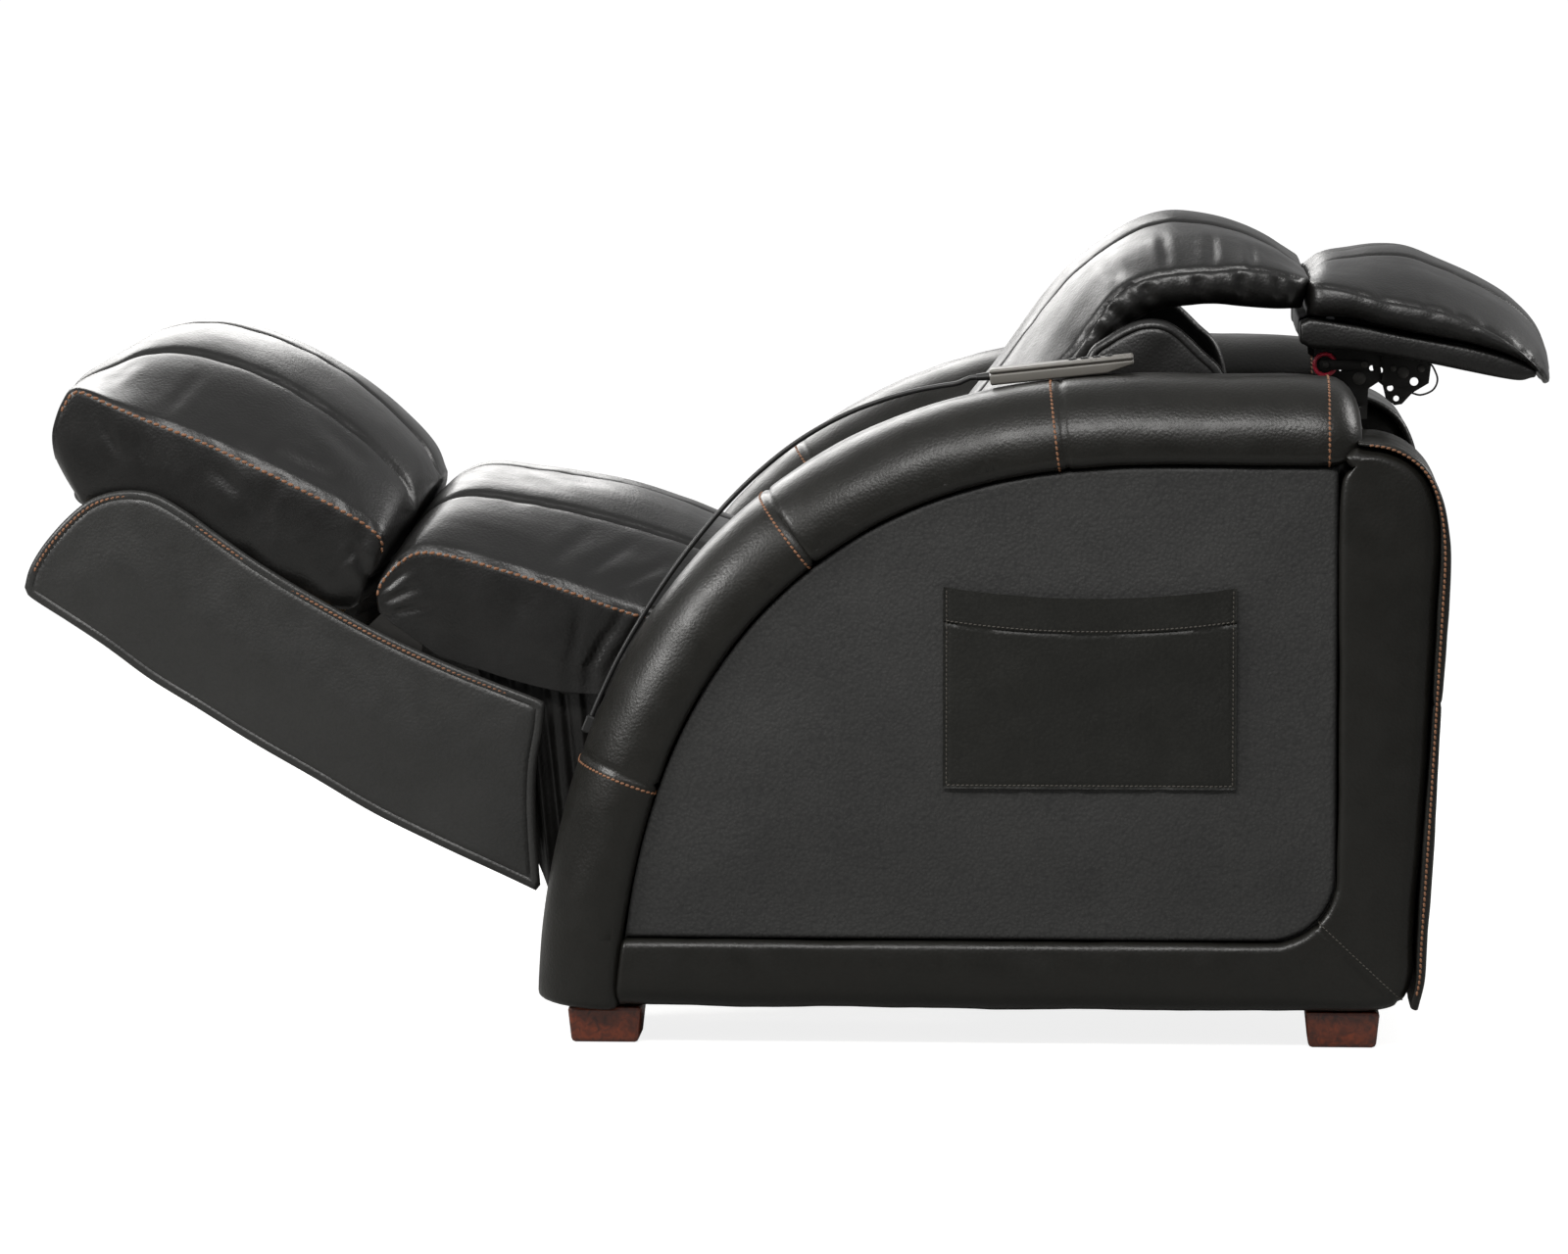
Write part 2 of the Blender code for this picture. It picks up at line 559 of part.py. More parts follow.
def seat_frame(seat):
    """Side plates, deck, runners and the two drives under the seat."""
    leg_y, leg_z = LEG_PIVOT
    back_y, back_z = BACK_PIVOT
    outline = [
        (leg_y + 0.020, leg_z + 0.024),
        (leg_y - 0.004, leg_z + 0.020),
        (leg_y - 0.016, leg_z + 0.006),
        (leg_y - 0.012, leg_z - 0.012),
        (leg_y + 0.045, leg_z - 0.030),
        (DECK_FRONT_Y - 0.010, DECK_Z - 0.007),
        (back_y + 0.008, DECK_Z - 0.007),
        (back_y + 0.024, back_z - 0.030),
        (back_y + 0.024, back_z + 0.010),
        (back_y + 0.010, back_z + 0.024),
        (back_y - 0.015, back_z + 0.022),
        (back_y - 0.050, back_z - 0.010),
        (DECK_FRONT_Y, back_z - 0.010),
        (leg_y + 0.105, leg_z + 0.012),
    ]
    pin_room = PIN_R + GAP
    for side in SIDES:
        plate = add_mesh(
            f"seat_side_plate_{side}", prism(outline, *mirrored(side, PLATE_IN_X, PLATE_OUT_X)), seat, "black steel"
        )
        for name, at in (("leg", LEG_PIVOT), ("back", BACK_PIVOT)):
            hole = cylinder(*mirrored(side, PLATE_IN_X - 0.01, PLATE_OUT_X + 0.01), at, pin_room)
            cut(plate, cutter(f"{name}_pin_hole_{side}", hole, seat))
    half = PLATE_IN_X - GAP
    add_mesh("seat_deck", block(-half, half, DECK_FRONT_Y, DECK_REAR_Y, DECK_Z, DECK_TOP_Z), seat, "board")
    leg_line = [
        (CARRIAGE_FRONT_Y, RUNNER_TOP_Z + GAP),
        (CARRIAGE_FRONT_Y + CARRIAGE_L, RUNNER_TOP_Z + GAP),
        (CARRIAGE_FRONT_Y + CARRIAGE_L - 0.06, DECK_Z - GAP),
        (CARRIAGE_FRONT_Y - 0.06, DECK_Z - GAP),
    ]
    out = RUNNER_RAIL_X + CARRIAGE_T / 2
    carriage = add_mesh("seat_carriage", prism(leg_line, out - CARRIAGE_T, out), seat, "black steel")
    cut(carriage, cutter("carriage_right_leg", prism(leg_line, -out, CARRIAGE_T - out), seat), "UNION")
    low = DRIVE_TOP_Z + GAP
    bar = block(-out + 0.004, out - 0.004, CARRIAGE_BAR_Y, CARRIAGE_BAR_Y + CARRIAGE_BAR_W, low, low + CARRIAGE_BAR_T)
    cut(carriage, cutter("carriage_cross_bar", bar, seat), "UNION")
    rail = (BACK_DRIVE_X - BACK_DRIVE_W / 2, BACK_DRIVE_X + BACK_DRIVE_W / 2)
    top = DECK_Z - GAP
    add_mesh(
        "back_drive_rail",
        block(*rail, BACK_DRIVE_FRONT_Y, BACK_DRIVE_REAR_Y, top - BACK_DRIVE_H, top),
        seat,
        "zinc",
    )
    motor = block(
        BACK_DRIVE_X - BACK_MOTOR_W / 2,
        BACK_DRIVE_X + BACK_MOTOR_W / 2,
        BACK_DRIVE_FRONT_Y - GAP - BACK_MOTOR_L,
        BACK_DRIVE_FRONT_Y - GAP,
        top - BACK_MOTOR_H,
        top,
    )
    bevel(add_mesh("back_drive_motor", motor, seat, "black plastic"), 0.006)


def back_drive_block(body):
    top = DECK_Z - 2 * GAP - BACK_DRIVE_H
    shape = block(
        BACK_DRIVE_X - BACK_DRIVE_W / 2,
        BACK_DRIVE_X + BACK_DRIVE_W / 2,
        BACK_BLOCK_Y,
        BACK_BLOCK_Y + BACK_BLOCK_L,
        top - 0.026,
        top,
    )
    bevel(add_mesh("back_drive_block", shape, body, "black plastic"), 0.003)


def seat_cushion(seat):
    y, z = LEG_PIVOT
    low = DECK_TOP_Z + GAP
    lines = [
        ((y - 0.027, z + 0.019), (y - 0.015, z - 0.003), 0.66),
        ((y - 0.007, z + 0.057), (y + 0.010, z - 0.023), 0.58),
        ((y + 0.017, z + 0.093), (y + 0.035, z - 0.0385), 0.58),
        ((y + 0.044, z + 0.117), (y + 0.060, z - 0.052), 0.57),
        ((-0.550, 0.578), (-0.535, low + 0.022), 0.55),
        ((-0.500, 0.571), (-0.490, low + 0.008), 0.52),
        ((-0.440, 0.562), (-0.440, low), 0.45),
        ((-0.370, 0.543), (-0.370, low), 0.35),
        ((-0.300, 0.516), (-0.300, low), 0.34),
        ((-0.220, 0.492), (-0.220, low), 0.36),
        ((-0.130, 0.470), (-0.130, low), 0.39),
        ((-0.050, 0.451), (-0.050, low), 0.42),
        ((-0.022, 0.430), (-0.022, low + 0.010), 0.42),
    ]
    cushion("seat_cushion", lines, SEAT_W / 2, 0.44, 25, seat)


def board_z(y, lift=0.0):
    """The leg rest board's upper face."""
    (y0, z0), (y1, z1) = LEG_BOARD_FRONT, LEG_BOARD_REAR
    return z0 + (z1 - z0) * (y - y0) / (y1 - y0) + lift


def wing_outline():
    """The leg rest's curved side: tip, top edge, square rear end and bottom edge."""
    top = [(-1.045, 0.458), (-1.036, 0.485), (-1.012, 0.520), (-0.975, 0.551), (-0.935, 0.563), (-0.895, 0.555),
           (-0.838, 0.516), (-0.755, 0.462), (-0.650, 0.405), (-0.545, 0.360), (-0.487, 0.337)]
    bottom = [(-0.492, 0.300), (-0.497, 0.230), (-0.493, 0.135), (-0.609, 0.186), (-0.735, 0.254), (-0.861, 0.329),
              (-0.966, 0.400), (-1.038, 0.445)]
    return top + bottom


def leg_rest(leg):
    """Padded sides, hinge plates, pins, board, bottom skin and cross tube."""
    y, z = LEG_PIVOT
    hinge = [
        (y - 0.014, z + 0.014),
        (y + 0.012, z + 0.014),
        (y + 0.016, z - 0.006),
        (y - 0.006, z - 0.125),
        (y - 0.036, z - 0.150),
        (y - 0.122, z - 0.110),
        (y - 0.122, z - 0.076),
        (y - 0.075, z - 0.060),
        (y - 0.022, z - 0.010),
    ]
    half = WING_IN_X - GAP
    for side in SIDES:
        wing = prism(wing_outline(), *mirrored(side, WING_IN_X, WING_OUT_X))
        bevel(add_mesh(f"leg_rest_side_{side}", wing, leg, "leather"), 0.005, 2, 60)
    frame = add_mesh("leg_rest_frame", cylinder(-half, half, LEG_TUBE_AT, LEG_TUBE_R, 16), leg, "black steel", 30)
    for side in SIDES:
        plate = prism(hinge, *mirrored(side, LEG_PLATE_IN_X, LEG_PLATE_OUT_X))
        cut(frame, cutter(f"leg_hinge_plate_{side}", plate, leg), "UNION")
        pin = cylinder(*mirrored(side, SEAT_W / 2 + RUN, LEG_PLATE_OUT_X - 0.001), LEG_PIVOT, PIN_R)
        cut(frame, cutter(f"leg_hinge_pin_{side}", pin, leg), "UNION")
    (y0, z0), (y1, z1) = LEG_BOARD_FRONT, LEG_BOARD_REAR
    board = [(y0, z0), (y1, z1), (y1, z1 - LEG_BOARD_T), (y0, z0 - LEG_BOARD_T)]
    add_mesh("leg_rest_board", prism(board, -half, half), leg, "board")
    outer = [(-1.034, 0.452), (-0.966, 0.403), (-0.861, 0.332), (-0.800, 0.296)]
    lift = LEG_SKIN_T / math.cos(math.radians(34))
    skin = outer + [(p, q + lift) for p, q in reversed(outer)]
    add_mesh("leg_rest_skin", prism(skin, -half, half), leg, "leather")


def foot_cushion(leg):
    y, z = LEG_PIVOT
    lines = [
        ((-1.029, 0.583), (-1.004, 0.556), 0.90),
        ((-1.031, 0.625), (-0.985, board_z(-0.985, GAP)), 0.88),
        ((-1.010, 0.668), (-0.950, board_z(-0.950, GAP)), 0.80),
        ((-0.946, 0.713), (-0.910, board_z(-0.910, GAP)), 0.65),
        ((-0.878, 0.731), (-0.865, board_z(-0.865, GAP)), 0.54),
        ((-0.806, 0.719), (-0.815, board_z(-0.815, GAP)), 0.49),
        ((-0.744, 0.689), (-0.775, board_z(-0.775, GAP)), 0.465),
        ((-0.688, 0.648), (-0.735, board_z(-0.735, GAP)), 0.47),
        ((y - 0.012, z + 0.152), (y - 0.080, z - 0.022), 0.49),
        ((y + 0.022, z + 0.119), (y - 0.052, z - 0.012), 0.45),
    ]
    cushion("foot_cushion", lines, SEAT_W / 2, 0.44, 24, leg)


def back_frame(back):
    """Welded tubes with their pivot pins, the board that carries the pad, and the side bolsters."""
    half = BACK_TUBE_X
    out = PLATE_OUT_X
    frame = add_mesh(
        "back_frame", cylinder(-half, half, on_back(BACK_L - BACK_TUBE_R), BACK_TUBE_R, 16), back, "black steel", 30
    )
    for side in SIDES:
        rings = []
        for y, z in (on_back(-0.008), on_back(BACK_L)):
            rings.append([
                Vector((
                    SIDES[side] * BACK_TUBE_X + BACK_TUBE_R * math.cos(a),
                    y + BACK_ACROSS[0] * BACK_TUBE_R * math.sin(a),
                    z + BACK_ACROSS[1] * BACK_TUBE_R * math.sin(a),
                ))
                for a in (2 * math.pi * i / 16 for i in range(16))
            ])
        cut(frame, cutter(f"back_side_tube_{side}", loft(rings), back), "UNION")
        pin = cylinder(*mirrored(side, BACK_TUBE_X, out), BACK_PIVOT, PIN_R)
        cut(frame, cutter(f"back_pin_{side}", pin, back), "UNION")
    lower = cylinder(-half, half, on_back(BACK_LOWER), BACK_TUBE_R * 0.9, 16)
    cut(frame, cutter("back_lower_tube", lower, back), "UNION")
    near, far = BACK_TUBE_R + GAP, BACK_TUBE_R + GAP + BACK_BOARD_T
    board = [on_back(0.040, near), on_back(BACK_BOARD_L, near), on_back(BACK_BOARD_L, far), on_back(0.040, far)]
    wide = BACK_TUBE_X + BACK_TUBE_R
    add_mesh("back_board", prism(board, -wide, wide), back, "leather")
    fin = [(0.091, 0.712), (0.107, 0.725), (0.127, 0.739), (0.143, 0.746), (0.160, 0.748), (0.176, 0.745),
           (0.192, 0.735), (0.212, 0.717), (0.236, 0.690), (0.244, 0.640), on_back(0.235), on_back(0.070), (0.078, 0.640)]
    inside = BACK_TUBE_X + BACK_TUBE_R + GAP
    for side in SIDES:
        bolster = prism(fin, *mirrored(side, inside, inside + FIN_T))
        bevel(add_mesh(f"back_bolster_{side}", bolster, back, "leather"), 0.006, 2, 60)


def back_cushion(back):
    """The back pad, which arches off the frame when the chair lies flat."""
    seated = on_back(0.045, BACK_TUBE_R + BACK_BOARD_T + 2 * GAP)
    lines = [
        ((-0.064, 0.612), seated, 0.72),
        ((-0.046, 0.645), (seated[0] + 0.006, 0.545), 0.65),
        ((-0.014, 0.686), (0.080, 0.610), 0.58),
        ((0.012, 0.724), (0.086, 0.662), 0.47),
        ((0.039, 0.762), (0.098, 0.708), 0.36),
        ((0.070, 0.798), (0.114, 0.744), 0.35),
        ((0.103, 0.825), (0.134, 0.766), 0.39),
        ((0.138, 0.846), (0.160, 0.771), 0.39),
        ((0.176, 0.855), (0.190, 0.770), 0.38),
        ((0.215, 0.852), (0.218, 0.769), 0.42),
        ((0.253, 0.842), (0.246, 0.766), 0.52),
        ((0.283, 0.827), (0.274, 0.764), 0.62),
        ((0.302, 0.804), (0.298, 0.776), 0.70),
    ]
    cushion("back_cushion", lines, SEAT_W / 2 - 0.007, 0.40, 25, back, power=2.6, channel=0.08)


def headrest_brackets(back):
    """Steel brackets, a spacer ring and the tilt motor on the top of the back."""
    y, z = HEAD_PIVOT
    post_y, post_z = on_back(BACK_L - BACK_TUBE_R)
    foot_z = post_z + BACK_TUBE_R + GAP
    outline = [
        (post_y - 0.010, foot_z),
        (post_y + 0.009, foot_z),
        (post_y + 0.011, 0.668),
        (0.402, 0.686),
        (0.386, 0.702),
        (0.3665, 0.706),
        (y + 0.012, z + 0.006),
        (y + 0.005, z + 0.011),
        (y - 0.005, z + 0.011),
        (y - 0.012, z + 0.004),
        (RING_AT[0] - 0.014, RING_AT[1] + 0.006),
        (RING_AT[0] - 0.006, RING_AT[1] - 0.011),
        (post_y - 0.010, 0.672),
    ]
    for side in SIDES:
        limits = mirrored(side, HEAD_PLATE_X, HEAD_PLATE_OUT_X)
        plate = add_mesh(f"headrest_bracket_{side}", prism(outline, *limits), back, "black steel")
        hole = cylinder(*mirrored(side, HEAD_PLATE_X - 0.01, HEAD_PLATE_OUT_X + 0.01), HEAD_PIVOT, HEAD_PIN_R + GAP)
        cut(plate, cutter(f"headrest_pin_hole_{side}", hole, back))
    face = HEAD_PLATE_OUT_X + GAP
    ring = add_mesh("headrest_ring", cylinder(face, face + RING_T, RING_AT, RING_R, 24), back, "red plastic")
    bore = cylinder(face - 0.01, face + RING_T + 0.01, RING_AT, RING_BORE_R, 24)
    cut(ring, cutter("headrest_ring_bore", bore, back))
    motor_at = (post_y, foot_z + HEAD_MOTOR_R)
    motor = cylinder(-HEAD_MOTOR_L / 2, HEAD_MOTOR_L / 2, motor_at, HEAD_MOTOR_R, 20)
    add_mesh("headrest_motor", motor, back, "black plastic", 30)


def headrest_frame(head):
    """The headrest's padded board, its two hinge plates and their shaft."""
    y, z = HEAD_PIVOT
    (y0, z0), (y1, z1) = HEAD_BOARD_FRONT, HEAD_BOARD_REAR
    half = HEAD_W / 2
    board = [(y0, z0), (y1, z1), (y1 + 0.004, z1 - HEAD_BOARD_T * 0.8), (y0, z0 - HEAD_BOARD_T)]
    bevel(add_mesh("headrest_board", prism(board, -half, half), head, "leather"), 0.003, 2)
    slope = (z1 - z0) / (y1 - y0)
    under = z0 - HEAD_BOARD_T - GAP
    plate = [
        (y0 - GAP, under),
        (y0 - GAP, z0),
        (y + 0.006, z + 0.010),
        (y - 0.006, z + 0.010),
        (y - 0.011, z),
        (y - 0.006, z - 0.010),
        (y + 0.004, z - 0.014),
        (y0 - 0.004, under - 0.008),
        (0.415, under + slope * (0.415 - y0) - 0.010),
        (0.415, 0.668),
        (0.419, 0.651),
        (0.428, 0.650),
        (0.440, 0.661),
        (0.452, 0.680),
        (0.456, under + slope * (0.456 - y0)),
    ]
    plate_in = HEAD_PLATE_OUT_X + RUN
    plate_out = plate_in + HEAD_PLATE_T
    for side in SIDES:
        piece = add_mesh(
            f"headrest_hinge_plate_{side}", prism(plate, *mirrored(side, plate_in, plate_out)), head, "black steel"
        )
        hole = cylinder(*mirrored(side, plate_in - 0.01, plate_out + 0.01), HEAD_PIVOT, HEAD_PIN_R + GAP)
        cut(piece, cutter(f"headrest_plate_hole_{side}", hole, head))
    reach = plate_out + 0.002
    add_mesh("headrest_shaft", cylinder(-reach, reach, HEAD_PIVOT, HEAD_PIN_R), head, "zinc", 30)


def headrest_cushion(head):
    (y0, z0), (y1, z1) = HEAD_BOARD_FRONT, HEAD_BOARD_REAR

    def above(y):
        return z0 + (z1 - z0) * (y - y0) / (y1 - y0) + GAP

    lines = [
        ((0.338, 0.797), (0.334, 0.768), 0.79),
        ((0.352, 0.808), (0.350, 0.757), 0.64),
        ((0.376, 0.813), (0.376, above(0.376) + 0.008), 0.50),
        ((0.406, 0.818), (0.400, above(0.400)), 0.40),
        ((0.437, 0.816), (0.430, above(0.430)), 0.38),
        ((0.471, 0.803), (0.460, above(0.460)), 0.41),
        ((0.508, 0.786), (0.495, above(0.495)), 0.38),
        ((0.545, 0.764), (0.528, above(0.528)), 0.32),
        ((0.572, 0.739), (0.552, above(0.552)), 0.25),
        ((0.585, 0.714), (0.566, 0.698), 0.25),
        ((0.588, 0.692), (0.572, 0.684), 0.25),
    ]
    cushion("headrest_cushion", lines, HEAD_W / 2 + 0.010, 0.40, 21, head, power=2.5, channel=0.08)


# Handset
def handset_frame():
    """Where the handset lies on the roll: its middle, the way it points and the way it faces."""
    point, normal = arm_point(turn_at_depth(HANDSET_Y))
    along = Vector((normal.y, -normal.x))
    return point + normal * GAP, along, normal


def handset_block(x0, x1, a0, a1, n0, n1):
    """A block in the handset's own directions."""
    at, along, normal = handset_frame()
    outline = [tuple(at + along * a + normal * n) for a, n in ((a0, n0), (a1, n0), (a1, n1), (a0, n1))]
    return prism(outline, x0, x1)


def round_post(x, along_at, n0, n1, radius, top_radius=None, segments=16):
    """A round post standing on the handset."""
    at, along, normal = handset_frame()
    rings = []
    for n, r in ((n0, radius), (n1, radius if top_radius is None else top_radius)):
        ring = []
        for i in range(segments):
            a = 2 * math.pi * i / segments
            place_2d = at + along * (along_at + r * math.sin(a)) + normal * n
            ring.append(Vector((x + r * math.cos(a), *place_2d)))
        rings.append(ring)
    return loft(rings)


def handset(base, buttons):
    """Two shells, four buttons in wells, the cord's gland, the cord and its socket on the arm."""
    x0, x1 = HANDSET_X - HANDSET_W / 2, HANDSET_X + HANDSET_W / 2
    half = HANDSET_L / 2
    split = HANDSET_LOWER_T
    top = split + GAP + HANDSET_UPPER_T
    lower = handset_block(x0, x1, -half, half, 0, split)
    bevel(add_mesh("handset_lower", lower, base, "grey plastic"), 0.0025, 2)
    upper = add_mesh("handset_upper", handset_block(x0, x1, -half, half, split + GAP, top), base, "grey plastic")
    bevel(upper, 0.003, 2)
    for i, body in enumerate(buttons):
        middle = BUTTON_FIRST + BUTTON_PITCH * i
        well = round_post(HANDSET_X, middle, top - BUTTON_WELL, top + 0.01, BUTTON_R + GAP)
        cut(upper, cutter(f"button_well_{i + 1}", well, base))
        low = top + BUTTON_RISE - BUTTON_H
        cap = round_post(HANDSET_X, middle, low, top + BUTTON_RISE, BUTTON_R, BUTTON_R * 0.85)
        add_mesh(f"handset_button_{i + 1}", cap, body, "black plastic", 30)
    at, along, normal = handset_frame()
    middle = at + normal * split
    rings = []
    for a, radius in ((half + GAP, GLAND_R), (half + GLAND_L, GLAND_TIP_R)):
        rings.append([
            Vector((HANDSET_X + radius * math.cos(t), *(middle - along * a + normal * radius * math.sin(t))))
            for t in (2 * math.pi * i / 12 for i in range(12))
        ])
    add_mesh("handset_gland", loft(rings), base, "black plastic", 30)


def cord_route():
    """The handset's cord, from its gland by hand-chosen points along the arm's inner shoulder to the socket."""
    at, along, normal = handset_frame()
    gland_tip = at + normal * HANDSET_LOWER_T - along * (HANDSET_L / 2 + GLAND_L)
    point, out = arm_point(turn_at_height(SOCKET_Z))
    up = Vector((-out.y, out.x)) * -1
    socket_top = point + out * (2 * GAP + SOCKET_T / 2) + up * (SOCKET_L / 2)
    return [
        (HANDSET_X, *(gland_tip - along * GAP)),
        (HANDSET_X, *(gland_tip - along * 0.008)),
        (0.361, -0.0440, 0.6853),
        (0.354, -0.0640, 0.6817),
        (0.345, -0.0900, 0.6760),
        (0.338, -0.1200, 0.6672),
        (0.334, -0.1550, 0.6540),
        (0.331, -0.1900, 0.6362),
        (0.329, -0.2250, 0.6132),
        (0.328, -0.2600, 0.5838),
        (0.328, -0.2900, 0.5535),
        (0.328, -0.3200, 0.5182),
        (0.328, -0.3450, 0.4852),
        (0.327, -0.3680, 0.4512),
        (0.326, -0.3880, 0.4185),
        (0.325, -0.4050, 0.3880),
        (0.324, -0.4180, 0.3610),
        (0.324, *(socket_top + up * 0.009)),
        (0.324, *(socket_top + up * GAP)),
    ]


def cord(base):
    """A tube along the route, with a point every two or three diameters."""
    route = [Vector(p) for p in cord_route()]
    path = smooth_path(route, 62)
    curve = bpy.data.curves.new("handset_cord", "CURVE")
    curve.dimensions = "3D"
    spline = curve.splines.new("POLY")
    spline.points.add(len(path) - 1)
    for item, point in zip(spline.points, path):
        item.co = (*point, 1)
    curve.bevel_depth = CORD_D / 2
    curve.bevel_resolution = 2
    curve.use_fill_caps = True
    obj = bpy.data.objects.new("handset_cord", curve)
    bpy.context.scene.collection.objects.link(obj)
    obj.parent = base
    curve.materials.append(material_for("handset_cord", "black plastic"))


def cord_socket(base):
    """The plug-in socket on the front of the arm's roll."""
    point, normal = arm_point(turn_at_height(SOCKET_Z))
    down = Vector((normal.y, -normal.x)) * -1
    x = cord_route()[-1][0]
    foot_at = point + normal * GAP * 2
    outline = [
        tuple(foot_at + down * a + normal * n)
        for a, n in (
            (-SOCKET_L / 2, 0), (SOCKET_L / 2, 0), (SOCKET_L / 2, SOCKET_T), (-SOCKET_L / 2, SOCKET_T),
        )
    ]
    bevel(add_mesh("cord_socket", prism(outline, x - SOCKET_W / 2, x + SOCKET_W / 2), base, "black plastic"), 0.0015, 1)


def build():
    clear_scene()
    base = pivot_empty("base", None, 0, 0)
    seat = pivot_empty("seat", base, 0, 0)
    leg = pivot_empty("leg_rest", seat, *LEG_PIVOT)
    back = pivot_empty("back", seat, *BACK_PIVOT)
    drive = pivot_empty("back_drive", seat, BACK_BLOCK_Y, DECK_Z)
    head = pivot_empty("headrest", back, *HEAD_PIVOT)
    at, along, _ = handset_frame()
    buttons = [
        pivot_empty(f"button_{i + 1}", base, *(at + along * (BUTTON_FIRST + BUTTON_PITCH * i))) for i in range(4)
    ]
    base_frame(base)
    for side in SIDES:
        arm_roll(side, base)
        arm_frame(side, base)
    side_pocket(base)
    seat_frame(seat)
    seat_cushion(seat)
    back_drive_block(drive)
    leg_rest(leg)
    foot_cushion(leg)
    back_frame(back)
    back_cushion(back)
    headrest_brackets(back)
    headrest_frame(head)
    headrest_cushion(head)
    handset(base, buttons)
    cord(base)
    cord_socket(base)


build()
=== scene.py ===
import bpy
import math
import numpy as np
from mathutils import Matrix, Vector
from mathutils.geometry import delaunay_2d_cdt


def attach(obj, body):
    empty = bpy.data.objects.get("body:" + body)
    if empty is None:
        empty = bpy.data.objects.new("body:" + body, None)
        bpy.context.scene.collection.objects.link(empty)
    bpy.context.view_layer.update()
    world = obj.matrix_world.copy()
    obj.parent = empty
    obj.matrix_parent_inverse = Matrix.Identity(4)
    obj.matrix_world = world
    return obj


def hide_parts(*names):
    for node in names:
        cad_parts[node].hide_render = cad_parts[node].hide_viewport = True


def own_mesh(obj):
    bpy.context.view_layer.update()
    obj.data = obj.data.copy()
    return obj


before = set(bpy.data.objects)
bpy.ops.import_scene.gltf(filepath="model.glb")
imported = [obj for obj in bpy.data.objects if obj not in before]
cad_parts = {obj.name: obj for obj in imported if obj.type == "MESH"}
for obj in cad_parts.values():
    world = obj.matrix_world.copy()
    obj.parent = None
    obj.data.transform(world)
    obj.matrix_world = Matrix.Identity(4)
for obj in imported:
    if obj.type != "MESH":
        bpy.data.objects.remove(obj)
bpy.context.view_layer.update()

chairY = 0.2285  # the middle of the base, behind the origin; side views below are measured from it
skin = 0.0006  # what lies on a surface stands this far off it
sides = ((1, "Left"), (-1, "Right"))

# Camera: a long lens, a little above the seat, square to the chair's left side
cameraSpec = {"lens": 162, "sensor": 36, "place": (7.7446, 0.1411 + chairY, 1.1465), "down": 5.553, "turn": 2.849}


def setCamera(spec):
    camera = bpy.data.objects.new("camera", bpy.data.cameras.new("camera"))
    bpy.context.scene.collection.objects.link(camera)
    camera.data.lens = spec["lens"]
    camera.data.sensor_width = spec["sensor"]
    camera.data.clip_end = 60
    camera.location = spec["place"]
    camera.rotation_euler = (math.radians(90 - spec["down"]), 0, math.radians(90 + spec["turn"]))
    bpy.context.scene.camera = camera


setCamera(cameraSpec)
print("camera set")


# Curves and grids
def curveAt(knots, u):
    # a smooth curve through the knots, at knot numbers u
    knots = np.asarray(knots, float)
    ends = np.vstack([2 * knots[0] - knots[1], knots, 2 * knots[-1] - knots[-2]])
    k = np.clip(np.floor(u).astype(int), 0, len(knots) - 2)
    t = (np.asarray(u) - k)[:, None]
    a, b, c, d = ends[k], ends[k + 1], ends[k + 2], ends[k + 3]
    return 0.5 * (2 * b + (c - a) * t + (2 * a - 5 * b + 4 * c - d) * t**2 + (3 * b - a - 3 * c + d) * t**3)


def evenNumbers(curves, step):
    # knot numbers that step evenly along the mean length of some curves
    u = np.linspace(0, len(curves[0]) - 1, 1200)
    length = np.zeros(len(u))
    for knots in curves:
        path = curveAt(knots, u)
        length[1:] += np.cumsum(np.linalg.norm(np.diff(path, axis=0), axis=1)) / len(curves)
    count = max(int(round(length[-1] / step)), 3)
    return np.interp(np.linspace(0, length[-1], count + 1), length, u)


def smoothPath(knots, step):
    return curveAt(knots, evenNumbers([knots], step))


def along(path):
    # distance run along a path of points
    return np.concatenate([[0], np.cumsum(np.linalg.norm(np.diff(path, axis=0), axis=1))])


def pickAlong(places, run, values):
    # values of any width, read at distances along a path
    return np.stack([np.interp(places, run, values[..., k]) for k in range(values.shape[-1])], axis=-1)


def unit(vectors):
    return vectors / np.linalg.norm(vectors, axis=-1, keepdims=True)


def gridNormals(grid, middle):
    across = np.roll(grid, -1, axis=1) - np.roll(grid, 1, axis=1)
    onward = np.gradient(grid, axis=0)
    normal = np.cross(onward, across)
    normal /= np.linalg.norm(normal, axis=2, keepdims=True) + 1e-12
    outward = ((grid - middle) * normal).sum(axis=2)
    return normal if np.median(outward) > 0 else -normal


def ripple(points, wave, seed):
    # slow uneven swell, about -1 to 1
    rng = np.random.default_rng(seed)
    total = np.zeros(points.shape[:-1])
    for _ in range(14):
        direction = rng.normal(size=3)
        direction *= 2 * math.pi / (np.linalg.norm(direction) * wave * rng.uniform(0.6, 1.7))
        total += np.sin(points @ direction + rng.uniform(0, 6.283))
    return total / 3.2


def puckers(where, start, stop, gap, width, reach, depth):
    # a row of puckers: its place, where it starts and stops, and the low and high value of each measure
    return {"where": where, "from": start, "to": stop, "gap": gap, "width": width, "reach": reach, "depth": depth}


